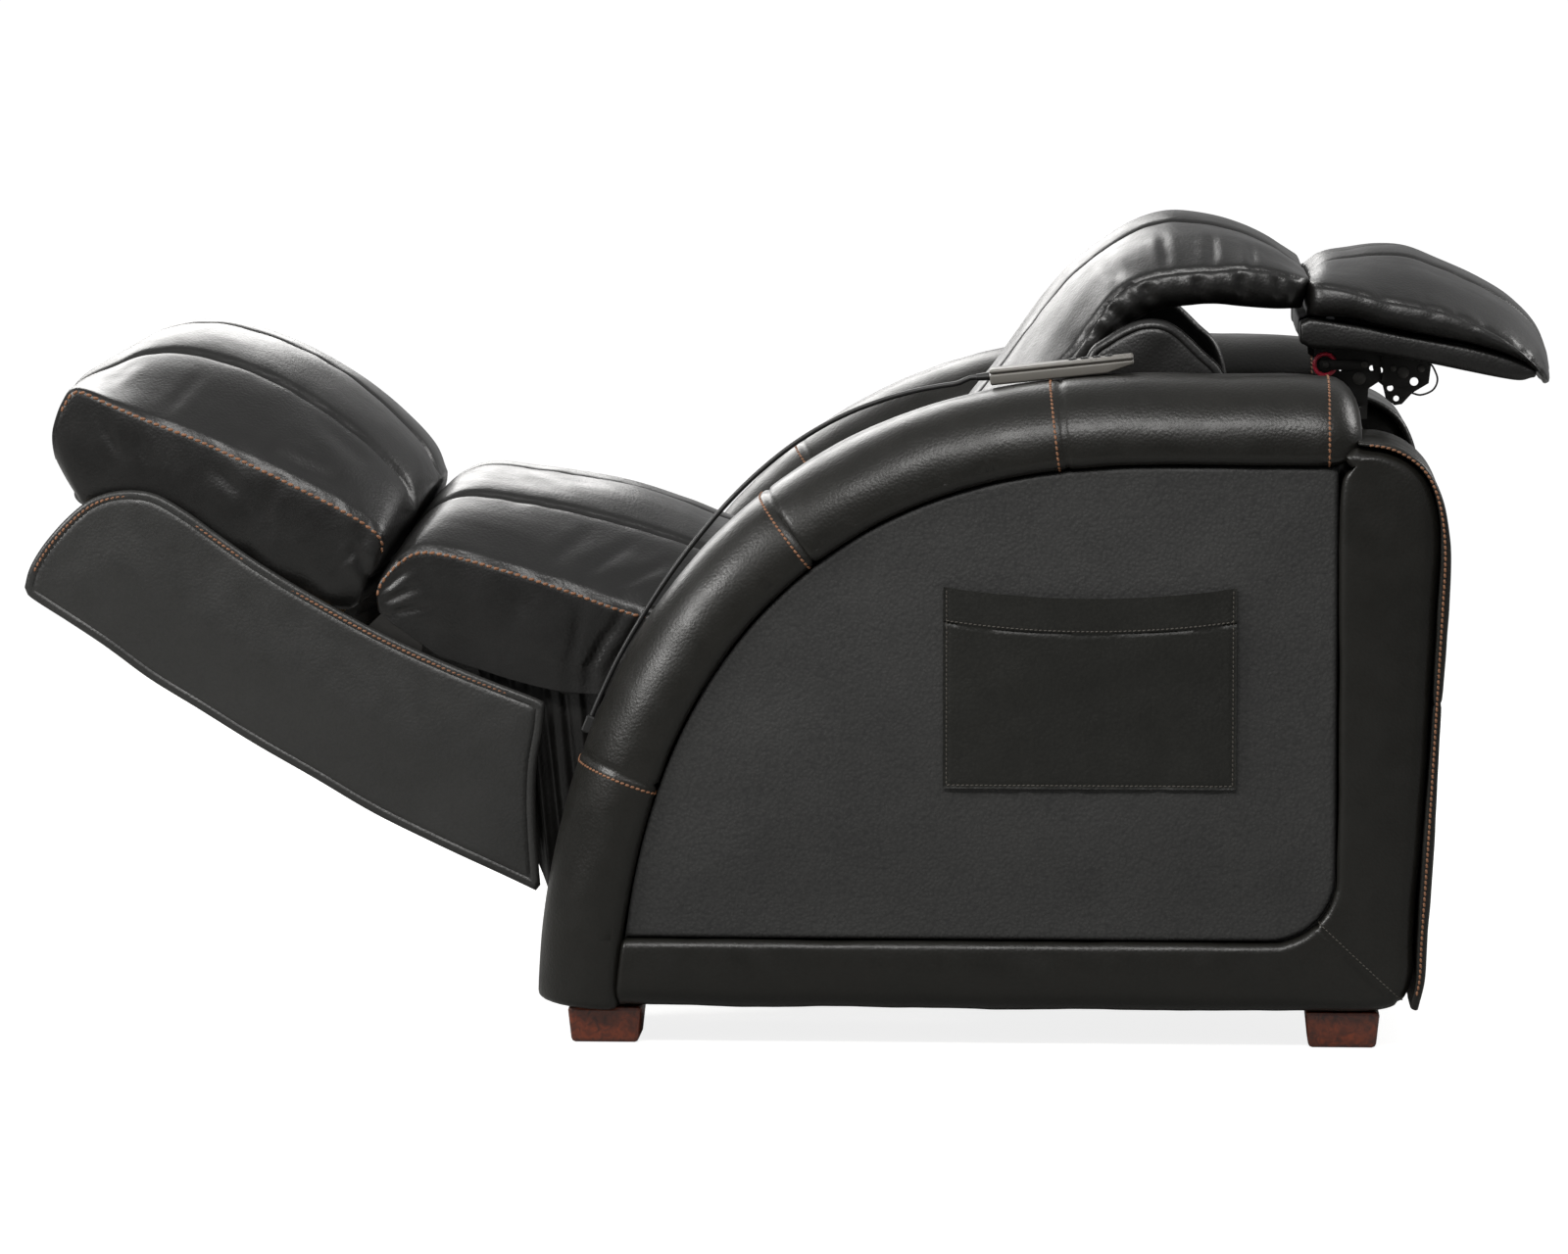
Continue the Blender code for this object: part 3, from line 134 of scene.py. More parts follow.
def gathers(run, away, spec, seed):
    # what the puckers at a seam add: run is the distance along it, away the distance from it
    rng = np.random.default_rng(seed)
    total = np.zeros(np.broadcast(run, away).shape)
    place = spec["from"]
    while place < spec["to"]:
        width = rng.uniform(*spec["width"])
        reach = rng.uniform(*spec["reach"])
        depth = rng.uniform(*spec["depth"])
        lean = rng.uniform(-0.35, 0.35)
        line = (run - place - lean * away) / (width * (1 + away / reach * 0.8))
        total -= depth * np.exp(-line**2) * np.exp(-((away / reach) ** 2)) * (away >= 0)
        total += 0.35 * depth * np.exp(-((np.abs(line) - 2.0) ** 2)) * np.exp(-((away / reach) ** 2)) * (away >= 0)
        place += rng.uniform(*spec["gap"])
    return total


def groove(distance, width, depth):
    return -depth * np.exp(-((distance / width) ** 2))


def meshFrom(name, points, faces, place=True):
    points = np.asarray(points, float).reshape(-1, 3).copy()
    if place:
        points[:, 1] += chairY
    mesh = bpy.data.meshes.new(name)
    mesh.from_pydata(points.tolist(), [], faces)
    piece = bpy.data.objects.new(name, mesh)
    bpy.context.scene.collection.objects.link(piece)
    return piece


def ringFaces(rows, columns, start=0):
    i, j = np.meshgrid(np.arange(rows - 1), np.arange(columns), indexing="ij")
    k = (j + 1) % columns
    quads = np.stack([i * columns + j, i * columns + k, (i + 1) * columns + k, (i + 1) * columns + j], axis=-1)
    return (quads.reshape(-1, 4) + start).tolist()


def closedGrid(name, grid):
    # a skin over rings, with a fan at each end, faces outwards
    rows, columns = grid.shape[:2]
    points = np.vstack([grid.reshape(-1, 3), grid[0].mean(axis=0), grid[-1].mean(axis=0)])
    faces = ringFaces(rows, columns)
    last = (rows - 1) * columns
    for j in range(columns):
        k = (j + 1) % columns
        faces.append([k, j, rows * columns])
        faces.append([last + j, last + k, rows * columns + 1])
    piece = meshFrom(name, points, faces)
    faceOutwards(piece)
    return piece


def selectOnly(piece):
    bpy.ops.object.select_all(action="DESELECT")
    piece.select_set(True)
    bpy.context.view_layer.objects.active = piece


def faceOutwards(piece):
    selectOnly(piece)
    bpy.ops.object.mode_set(mode="EDIT")
    bpy.ops.mesh.select_all(action="SELECT")
    bpy.ops.mesh.normals_make_consistent(inside=False)
    bpy.ops.object.mode_set(mode="OBJECT")


def smooth(piece, angle):
    selectOnly(piece)
    bpy.ops.object.shade_smooth_by_angle(angle=math.radians(angle))


def finishPiece(piece, body, material, slot, replaces=()):
    piece.data.materials.clear()
    piece.data.materials.append(material)
    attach(piece, body)
    if replaces:
        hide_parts(*replaces)
    return piece


def sheetPiece(name, front, back):
    # a thin sheet of two point grids, closed round its rim
    rows, columns = front.shape[:2]
    faces, count = [], rows * columns
    for i in range(rows - 1):
        for j in range(columns - 1):
            a, b = i * columns + j, (i + 1) * columns + j
            faces += [[a, b, b + 1, a + 1], [a + 1 + count, b + 1 + count, b + count, a + count]]
    rim = [i * columns for i in range(rows)] + [(rows - 1) * columns + j for j in range(1, columns)]
    rim += [i * columns + columns - 1 for i in range(rows - 2, -1, -1)] + list(range(columns - 2, 0, -1))
    for a, b in zip(rim, rim[1:] + rim[:1]):
        faces.append([b, a, a + count, b + count])
    piece = meshFrom(name, np.vstack([front.reshape(-1, 3), back.reshape(-1, 3)]), faces)
    faceOutwards(piece)
    smooth(piece, 60)
    return piece


def wireCurve(name, points, radius, resolution):
    # a round wire through points, in metres in the frame
    curve = bpy.data.curves.new(name, "CURVE")
    curve.dimensions, curve.bevel_depth, curve.bevel_resolution = "3D", radius, resolution
    curve.use_fill_caps = True
    spline = curve.splines.new("POLY")
    spline.points.add(len(points) - 1)
    for item, point in zip(spline.points, points):
        item.co = (*point, 1)
    piece = bpy.data.objects.new(name, curve)
    bpy.context.scene.collection.objects.link(piece)
    return piece


def asMesh(piece):
    selectOnly(piece)
    bpy.ops.object.convert(target="MESH")
    return bpy.context.active_object


def withCaps(grid, start, end):
    # more rings before the first and after the last; start is listed from the first ring outwards
    return np.concatenate([np.array(start[::-1]), grid, np.array(end)])


# Materials
def hexColour(code):
    parts = [int(code[i : i + 2], 16) / 255 for i in (1, 3, 5)]
    return tuple(p / 12.92 if p <= 0.04045 else ((p + 0.055) / 1.055) ** 2.4 for p in parts) + (1,)


def setInputs(tree, node, inputs):
    # links sockets and sets everything else as a value
    for key, value in inputs.items():
        if isinstance(value, bpy.types.NodeSocket):
            tree.links.new(value, node.inputs[key])
        else:
            node.inputs[key].default_value = value


def addNode(tree, kind, settings=None, inputs=None):
    node = tree.nodes.new(kind)
    for key, value in (settings or {}).items():
        setattr(node, key, value)
    setInputs(tree, node, inputs or {})
    return node


def twoTone(tree, factor, spec):
    mix = addNode(tree, "ShaderNodeMix", {"data_type": "RGBA"}, {"Factor": factor})
    setInputs(tree, mix, {6: hexColour(spec["dark"]), 7: hexColour(spec["light"])})
    return mix.outputs[2]


def newMaterial(name, sockets):
    material = bpy.data.materials.new(name)
    material.use_nodes = True
    tree = material.node_tree
    shader = tree.nodes["Principled BSDF"]
    setInputs(tree, shader, sockets)
    coords = addNode(tree, "ShaderNodeTexCoord")
    return material, tree, shader, coords.outputs["Object"]


def grainedLeather(name, spec):
    # finished hide: pressed grain under a thin polished coat, with slow creases from wear; lengths are in metres
    sockets = {"Roughness": spec["rough"], "IOR": 1.5, "Specular IOR Level": spec["shine"],
               "Coat Weight": spec["coat"], "Coat Roughness": spec["coatRough"]}
    material, tree, shader, place = newMaterial(name, sockets)
    tint = addNode(tree, "ShaderNodeTexNoise", None,
                   {"Vector": place, "Scale": 1 / 0.09, "Detail": 3.0, "Roughness": 0.6})
    pebble = addNode(
        tree, "ShaderNodeTexVoronoi", {"feature": "SMOOTH_F1"},
        {"Vector": place, "Scale": 1 / spec["grain"], "Smoothness": 0.6, "Randomness": 1.0},
    )
    cloud = addNode(
        tree, "ShaderNodeMapRange", None,
        {"Value": tint.outputs["Fac"], "From Min": 0.3, "From Max": 0.7, "To Min": 0.55, "To Max": 0.8},
    )
    # the valleys of the grain hold less light
    valley = addNode(
        tree, "ShaderNodeMath", {"operation": "MULTIPLY_ADD", "use_clamp": True},
        {0: pebble.outputs["Distance"], 1: -1.5 * spec["grainStrength"], 2: cloud.outputs["Result"]},
    )
    wear = addNode(tree, "ShaderNodeTexNoise", None, {"Vector": place, "Scale": 1 / 0.035, "Detail": 4.0})
    level = addNode(
        tree, "ShaderNodeMapRange", None,
        {"Value": wear.outputs["Fac"], "From Min": 0.3, "From Max": 0.7, "To Min": spec["rough"] - 0.05,
         "To Max": spec["rough"] + 0.06},
    )
    crease = addNode(
        tree, "ShaderNodeTexNoise", None,
        {"Vector": place, "Scale": 1 / spec["crease"], "Detail": 5.0, "Roughness": 0.62, "Distortion": 0.7},
    )
    fine = addNode(
        tree, "ShaderNodeBump", {"invert": True},
        {"Height": pebble.outputs["Distance"], "Strength": spec["grainStrength"], "Distance": 0.001},
    )
    broad = addNode(
        tree, "ShaderNodeBump", None,
        {"Height": crease.outputs["Fac"], "Strength": spec["creaseStrength"], "Distance": 0.004,
         "Normal": fine.outputs["Normal"]},
    )
    setInputs(tree, shader, {
        "Base Color": twoTone(tree, valley.outputs["Value"], spec), "Roughness": level.outputs["Result"],
        "Normal": broad.outputs["Normal"],
    })
    return material


def plainFinish(name, spec):
    # moulded or painted surfaces: one colour with a slight mottle and a fine texture
    sockets = {"Roughness": spec["rough"], "Metallic": spec.get("metal", 0.0)}
    material, tree, shader, place = newMaterial(name, sockets)
    cloud = addNode(tree, "ShaderNodeTexNoise", None, {"Vector": place, "Scale": 1 / spec["mottle"], "Detail": 4.0})
    grit = addNode(tree, "ShaderNodeTexNoise", None, {"Vector": place, "Scale": 1 / spec["grit"], "Detail": 2.0})
    bump = addNode(
        tree, "ShaderNodeBump", None,
        {"Height": grit.outputs["Fac"], "Strength": spec["bump"], "Distance": 0.0004},
    )
    colour = twoTone(tree, cloud.outputs["Fac"], spec)
    setInputs(tree, shader, {"Base Color": colour, "Normal": bump.outputs["Normal"]})
    return material


def stainedWood(name, spec):
    # lacquered brown block: long rings seen as streaks
    material, tree, shader, place = newMaterial(name, {"Roughness": 0.38, "Coat Weight": 0.35, "Coat Roughness": 0.2})
    stretch = addNode(tree, "ShaderNodeMapping", None, {"Vector": place, "Scale": (6.0, 40.0, 40.0)})
    rings = addNode(
        tree, "ShaderNodeTexNoise", None,
        {"Vector": stretch.outputs["Vector"], "Scale": 3.0, "Detail": 6.0, "Distortion": 1.2},
    )
    ramp = addNode(tree, "ShaderNodeValToRGB", None, {"Fac": rings.outputs["Fac"]})
    for element, place, tone in zip(ramp.color_ramp.elements, (0.3, 0.75), ("dark", "light")):
        element.position, element.color = place, hexColour(spec[tone])
    bump = addNode(
        tree, "ShaderNodeBump", None, {"Height": rings.outputs["Fac"], "Strength": 0.15, "Distance": 0.0006}
    )
    setInputs(tree, shader, {"Base Color": ramp.outputs["Color"], "Normal": bump.outputs["Normal"]})
    return material


# The grain and the thread are drawn coarser than real, so that they still show at this distance
finishes = {
    # near-black cushion hide: deep shade, with soft grey sheen along the crowns and folds
    "cushion": grainedLeather("topGrainLeather", {
        "dark": "#080807", "light": "#100f0e", "rough": 0.39, "shine": 0.42, "coat": 0.05, "coatRough": 0.22,
        "grain": 0.003, "grainStrength": 0.22, "crease": 0.014, "creaseStrength": 0.05,
    }),
    # a slightly warmer black on the rolls and borders, with a broad highlight along the top
    "arm": grainedLeather("armLeather", {
        "dark": "#0d0d0b", "light": "#1a1916", "rough": 0.37, "shine": 0.26, "coat": 0.06, "coatRough": 0.26,
        "grain": 0.003, "grainStrength": 0.22, "crease": 0.018, "creaseStrength": 0.05,
    }),
    # dark grey, even and dull, its pebbles seen from across the room
    "panel": grainedLeather("pebbledVinyl", {
        "dark": "#262626", "light": "#363635", "rough": 0.55, "shine": 0.22, "coat": 0.0, "coatRough": 0.4,
        "grain": 0.0034, "grainStrength": 0.46, "crease": 0.012, "creaseStrength": 0.18,
    }),
    # the same pebbles in a darker, slightly glossier sheet
    "pocket": grainedLeather("pocketVinyl", {
        "dark": "#121210", "light": "#1e1e1b", "rough": 0.46, "shine": 0.24, "coat": 0.04, "coatRough": 0.4,
        "grain": 0.0034, "grainStrength": 0.4, "crease": 0.012, "creaseStrength": 0.16,
    }),
    # smooth dark grey that takes a wide soft light on the leg rest's sides
    "wing": grainedLeather("satinLeather", {
        "dark": "#1c1c1b", "light": "#2a2a29", "rough": 0.42, "shine": 0.4, "coat": 0.05, "coatRough": 0.3,
        "grain": 0.003, "grainStrength": 0.26, "crease": 0.018, "creaseStrength": 0.06,
    }),
    # tan thread, the one warm line round the cushions
    "thread": plainFinish("bondedThread", {
        "dark": "#5a3822", "light": "#83593b", "rough": 0.62, "mottle": 0.006, "grit": 0.0008, "bump": 0.3,
    }),
    # thread a shade lighter than the hide, seen as a dotted line
    "blackThread": plainFinish("blackThread", {
        "dark": "#302d28", "light": "#433f38", "rough": 0.6, "mottle": 0.006, "grit": 0.0008, "bump": 0.3,
    }),
    # warm grey with a fine matt texture
    "handset": plainFinish("texturedAbs", {
        "dark": "#55534e", "light": "#5f5c57", "rough": 0.42, "mottle": 0.02, "grit": 0.0012, "bump": 0.15,
    }),
    # flat black of the motors, buttons and cord
    "blackPlastic": plainFinish("blackNylon", {
        "dark": "#121212", "light": "#1a1a1a", "rough": 0.45, "mottle": 0.02, "grit": 0.0012, "bump": 0.15,
    }),
    # a small bright red accent
    "redPlastic": plainFinish("redAcetal", {
        "dark": "#b32036", "light": "#d03c50", "rough": 0.3, "mottle": 0.01, "grit": 0.001, "bump": 0.1,
    }),
    # dark plates with a dull metal glint
    "steel": plainFinish("blackZincPlate", {
        "dark": "#1c1b1a", "light": "#292826", "rough": 0.42, "metal": 0.4, "mottle": 0.012, "grit": 0.002,
        "bump": 0.12,
    }),
    # rivets and wire rubbed to a lighter grey
    "steelLight": plainFinish("wornSteel", {
        "dark": "#3c3b39", "light": "#5b5956", "rough": 0.38, "metal": 0.7, "mottle": 0.006, "grit": 0.001, "bump": 0.1,
    }),
    # bright bars under the seat
    "zinc": plainFinish("brightZinc", {
        "dark": "#8c8d92", "light": "#b3b4b8", "rough": 0.3, "metal": 1.0, "mottle": 0.015, "grit": 0.002, "bump": 0.1,
    }),
    # pale plain wood of the hidden boards
    "board": plainFinish("birchPlywood", {
        "dark": "#a98a62", "light": "#c3a57c", "rough": 0.7, "mottle": 0.03, "grit": 0.002, "bump": 0.25,
    }),
    # red-brown blocks with a light lacquer, streaked along the grain
    "wood": stainedWood("walnutStainedBeech", {"dark": "#331003", "light": "#6a2a0c"}),
}
print("materials made")


# Handset cord: from the handset's gland along the arm's inner shoulder to its socket
cordSpec = {
    "diameter": 0.0055,
    "route": [
        (0.362, -0.0248, 0.6915), (0.362, -0.0324, 0.6907), (0.361, -0.044, 0.6853), (0.354, -0.064, 0.6817),
        (0.345, -0.09, 0.676), (0.338, -0.12, 0.6672), (0.334, -0.155, 0.654), (0.331, -0.19, 0.6362),
        (0.329, -0.225, 0.6132), (0.328, -0.26, 0.5838), (0.328, -0.29, 0.5535), (0.328, -0.32, 0.5182),
        (0.328, -0.345, 0.4852), (0.327, -0.368, 0.4512), (0.326, -0.388, 0.4185), (0.325, -0.405, 0.388),
        (0.324, -0.418, 0.361), (0.324, -0.429, 0.3368), (0.324, -0.4321, 0.3287),
    ],
}


def makeCord(spec):
    path = smoothPath(np.array(spec["route"]) + (0, chairY, 0), 0.006)
    cord = wireCurve("handsetCord", path, spec["diameter"] / 2, 4)
    cord.data.materials.append(finishes["blackPlastic"])
    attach(cord, "base")
    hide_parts("handset_cord")
    tuple(path[0])
    float(along(path)[-1])


makeCord(cordSpec)
print("cord laid")


# Stitches: one bead shape, copied along a line on the surface
def stitchRow(points, normals, spec):
    run = along(points)
    count = int(run[-1] / spec["pitch"])
    if count < 2:
        return None
    places = (np.arange(count) + 0.5) * run[-1] / count
    middle = pickAlong(places, run, points)
    facing = unit(pickAlong(places, run, normals))
    ahead = unit(np.gradient(middle, axis=0))
    across = np.cross(facing, ahead)
    slant = math.radians(spec["slant"])
    lengthwise = ahead * math.cos(slant) + across * math.sin(slant)
    sideways = np.cross(facing, lengthwise)
    half, wide, high = spec["length"] / 2, spec["width"] / 2, spec["height"]
    shape = []
    for x, w, h in ((-1.0, 0.35, 0.25), (-0.6, 0.9, 0.75), (0.6, 0.9, 0.75), (1.0, 0.35, 0.25)):
        for a in (0, 60, 120, 180):
            turn = math.radians(a)
            shape.append((x * half, math.cos(turn) * w * wide, h * high * math.sin(turn) - 0.0003))
    shape = np.array(shape)
    points = (
        middle[:, None] + lengthwise[:, None] * shape[None, :, 0:1] + sideways[:, None] * shape[None, :, 1:2]
        + facing[:, None] * shape[None, :, 2:3]
    )
    quads = []
    for r in range(3):
        for c in range(3):
            quads.append([r * 4 + c, r * 4 + c + 1, r * 4 + c + 5, r * 4 + c + 4])
        quads.append([r * 4 + 3, r * 4, r * 4 + 4, r * 4 + 7])
    quads += [[3, 2, 1, 0], [12, 13, 14, 15]]
    faces = [[v + 16 * i for v in quad] for i in range(count) for quad in quads]
    return points.reshape(-1, 3), faces


def stitchPiece(name, rows, body, slot, finish="thread"):
    allPoints, allFaces, start = [], [], 0
    for row in rows:
        if row is None:
            continue
        points, faces = row
        allPoints.append(points)
        allFaces += [[v + start for v in face] for face in faces]
        start += len(points)
    piece = meshFrom(name, np.vstack(allPoints), allFaces)
    faceOutwards(piece)
    smooth(piece, 60)
    return finishPiece(piece, body, finishes[finish], slot)


tanStitch = {"pitch": 0.0078, "length": 0.006, "width": 0.0034, "height": 0.0018, "slant": 16}
armStitch = {"pitch": 0.0058, "length": 0.0046, "width": 0.0026, "height": 0.0011, "slant": 12}
fineStitch = {"pitch": 0.0048, "length": 0.0034, "width": 0.0014, "height": 0.0008, "slant": 8}


# Cushions: lofted between the crown, the side seam and the underside of the side view
def fold(flat, start, end, wide):
    # a crease with a raised lip on each side, laid between two points of the side view
    start, end = np.array(start), np.array(end)
    way = end - start
    length = float(np.hypot(*way))
    ahead = (flat - start) @ way / length**2
    aside = np.abs((flat[..., 0] - start[0]) * way[1] - (flat[..., 1] - start[1]) * way[0]) / length
    taper = np.clip(np.minimum(ahead + 0.15, 1.15 - ahead) / 0.45, 0, 1) ** 2
    return taper * (0.45 * np.exp(-(((aside - 2.1 * wide) / (1.1 * wide)) ** 2)) - np.exp(-((aside / wide) ** 2)))


underRows = 40  # points across each cushion's underside


def makePad(name, spec):
    crown, seam, under = np.swapaxes(spec["stations"], 0, 1)
    u = evenNumbers([crown, seam], spec["step"])
    crown, seam, under = curveAt(crown, u), curveAt(seam, u), curveAt(under, u)
    rows = len(u)
    share = np.linspace(0, 1, rows)
    ends = spec.get("drawIn", (0.012, 0.012))
    width = spec["halfWidth"] - ends[0] * np.exp(-share / 0.06) - ends[1] * np.exp(-(1 - share) / 0.06)
    # the corners are rounded in plan
    run = along((crown + seam) / 2)
    for radius, far in zip(spec.get("corners", (0.022, 0.022)), (run, run[-1] - run)):
        turn = 1 - np.clip(far / radius, 0, 1)
        width = width - 0.8 * radius * (1 - np.sqrt(1 - turn**2))
    s = np.linspace(-1, 1, spec["across"])
    rise = 1 - np.abs(s) ** spec["crownPower"]
    topX = width[:, None] * s[None]
    topYZ = seam[:, None] + (crown - seam)[:, None] * rise[None, :, None]
    down = np.linspace(0, 1, spec["sideRows"] + 2)[1:-1]
    fall = np.sin(math.pi * down) ** 0.8 * spec["sideBulge"] - spec.get("tuck", 0.01) * down**5
    sideX = width[:, None] + fall[None]
    sideYZ = seam[:, None] + (under - seam)[:, None] * down[None, :, None]
    back = np.linspace(0.955, -0.955, underRows)
    drop = 0
    if "hem" in spec:
        # the side runs on down past what the pad lies on, and turns in under its edge
        hem = spec["hem"]
        hang = hem["drop"] * np.clip((crown[:, 0] - hem["from"]) / 0.06, 0, 1)
        lip = np.array([1.0, hem["lip"] / spec["halfWidth"], hem["lip"] / spec["halfWidth"] - 0.003, 0.93])
        back = np.concatenate([lip, np.linspace(0.88, -0.88, underRows), -lip[::-1]])
        drop = hang[:, None] * np.array([1, 1] + [0] * (underRows + 4) + [1, 1])
    underX = width[:, None] * back[None]
    underYZ = np.repeat(under[:, None], len(back), axis=1)
    underYZ[..., 1] -= drop
    top = np.dstack([topX, topYZ])
    right = np.dstack([sideX, sideYZ])
    bottom = np.dstack([underX, underYZ])
    left = np.dstack([-sideX[:, ::-1], sideYZ[:, ::-1]])
    grid = np.concatenate([top, right, bottom, left], axis=1)
    middle = grid.mean(axis=1, keepdims=True)
    normal = gridNormals(grid, middle)
    # distances round each ring, which starts on the left seam
    nTop, nSide = len(s), len(down)
    steps = np.linalg.norm(np.diff(grid, axis=1), axis=2)
    ring = np.concatenate([np.zeros((rows, 1)), np.cumsum(steps, axis=1)], axis=1)
    fromRight = ring - ring[:, nTop - 1 : nTop]
    fromLeftSide = ring - (ring[:, -1:] + np.linalg.norm(grid[:, 0] - grid[:, -1], axis=1)[:, None])
    column = np.arange(grid.shape[1])
    onTop = (column < nTop)[None]
    onRight = ((column >= nTop - 1) & (column < nTop + nSide))[None]
    onLeft = (column >= nTop + nSide + len(back))[None]
    seamFar = np.minimum(ring, np.minimum(np.abs(fromRight), np.abs(fromLeftSide)))
    fade = np.clip(np.minimum(share / 0.05, (1 - share) / 0.03), 0, 1)[:, None]
    move = groove(seamFar, 0.0035, spec["seamDepth"]) * fade - 0.0016 * np.exp(-seamFar / 0.016) * fade
    sTop = np.concatenate([s, np.full(grid.shape[1] - nTop, 9.0)])[None]
    for c in spec["channels"]:
        for side in (-1, 1) if c else (1,):
            place = side * (c + spec.get("flare", 0) * (share - 0.4))[:, None]
            far = np.abs(sTop - place) * width[:, None]
            cut = -spec["channelDepth"] * (0.55 * np.exp(-((far / 0.005) ** 2)) + 0.45 * np.exp(-far / 0.016))
            move += np.where(onTop, cut, 0) * np.clip(np.minimum(share / 0.08, (1 - share) / 0.04), 0, 1)[:, None]
            seed = spec["seed"] + int(50 * c) + side
            move += np.where(onTop, gathers(run[:, None], far, spec["channelGathers"], seed), 0)
    # where the puckers lie, how far each point is from the seam they start at, and what is added to the seed
    lowRight = ring[:, nTop + nSide : nTop + nSide + 1] - ring
    lowLeft = ring - ring[:, nTop + nSide + len(back) - 1 :][:, :1]
    starts = {
        "side": ((onRight, fromRight, 0), (onLeft, -fromLeftSide, 31)),
        "bottom": ((onRight, np.where(lowRight < 0, -1, lowRight), 0),
                   (onLeft, np.where(lowLeft < 0, -1, lowLeft), 57)),
        "top": ((onTop, np.where(onTop, -fromRight, -1), 0), (onTop, np.where(onTop, ring, -1), 43)),
    }
    for k, item in enumerate(spec["gathers"]):
        for there, away, more in starts[item["where"]]:
            move += np.where(there, gathers(run[:, None], away, item, spec["seed"] + more + k), 0)
    stretched = grid * np.array([1.0, 0.45, 0.45])
    move += ripple(stretched, 0.085, spec["seed"]) * 0.0007 + ripple(stretched, 0.022, spec["seed"] + 5) * 0.00007
    beside = np.clip(1 - seamFar / 0.12, 0, 1) if spec.get("folds") else 0
    for start, end, wide, deep, onCrown in spec.get("folds", ()):
        face = onTop if onCrown else ~onTop
        move += np.where(face, fold(grid[..., 1:], start, end, wide) * deep * np.sqrt(beside), 0)
    grid = grid + normal * move[..., None]
    if "limit" in spec:
        grid[..., 0] = np.clip(grid[..., 0], -spec["limit"], spec["limit"])  # clear of the leg rest's sides
    normal = gridNormals(grid, middle)
    closing = []
    for end, inner in ((0, 2), (-1, -3)):
        centre = grid[end].mean(axis=0)
        puff = centre - grid[inner].mean(axis=0)
        puff = puff / (np.linalg.norm(puff) + 1e-9) * spec["endPuff"]
        closing.append([centre + (grid[end] - centre) * k + puff * (1 - k**2) ** 0.5 for k in (0.93, 0.75, 0.4)])
    piece = closedGrid(name, withCaps(grid, *closing))
    smooth(piece, 70)
    finishPiece(piece, spec["body"], finishes["cushion"], spec["slot"], (spec["slot"],))
    if "stitches" not in spec:
        return
    # thread beside both seams
    offset, *share = spec["stitches"]
    first, last = (int(part * (rows - 1)) for part in share)
    lines = []
    for place, far, start in ((offset, fromRight, 0), (-offset, fromLeftSide, nTop + nSide)):
        points, facing = (
            np.array([pickAlong(place, far[i, start:], values[i, start:]) for i in range(first, last)])
            for values in (grid, normal)
        )
        lines.append(stitchRow(points + facing * skin, facing, tanStitch))
    stitchPiece(name + "Stitches", lines, spec["body"], spec["slot"])


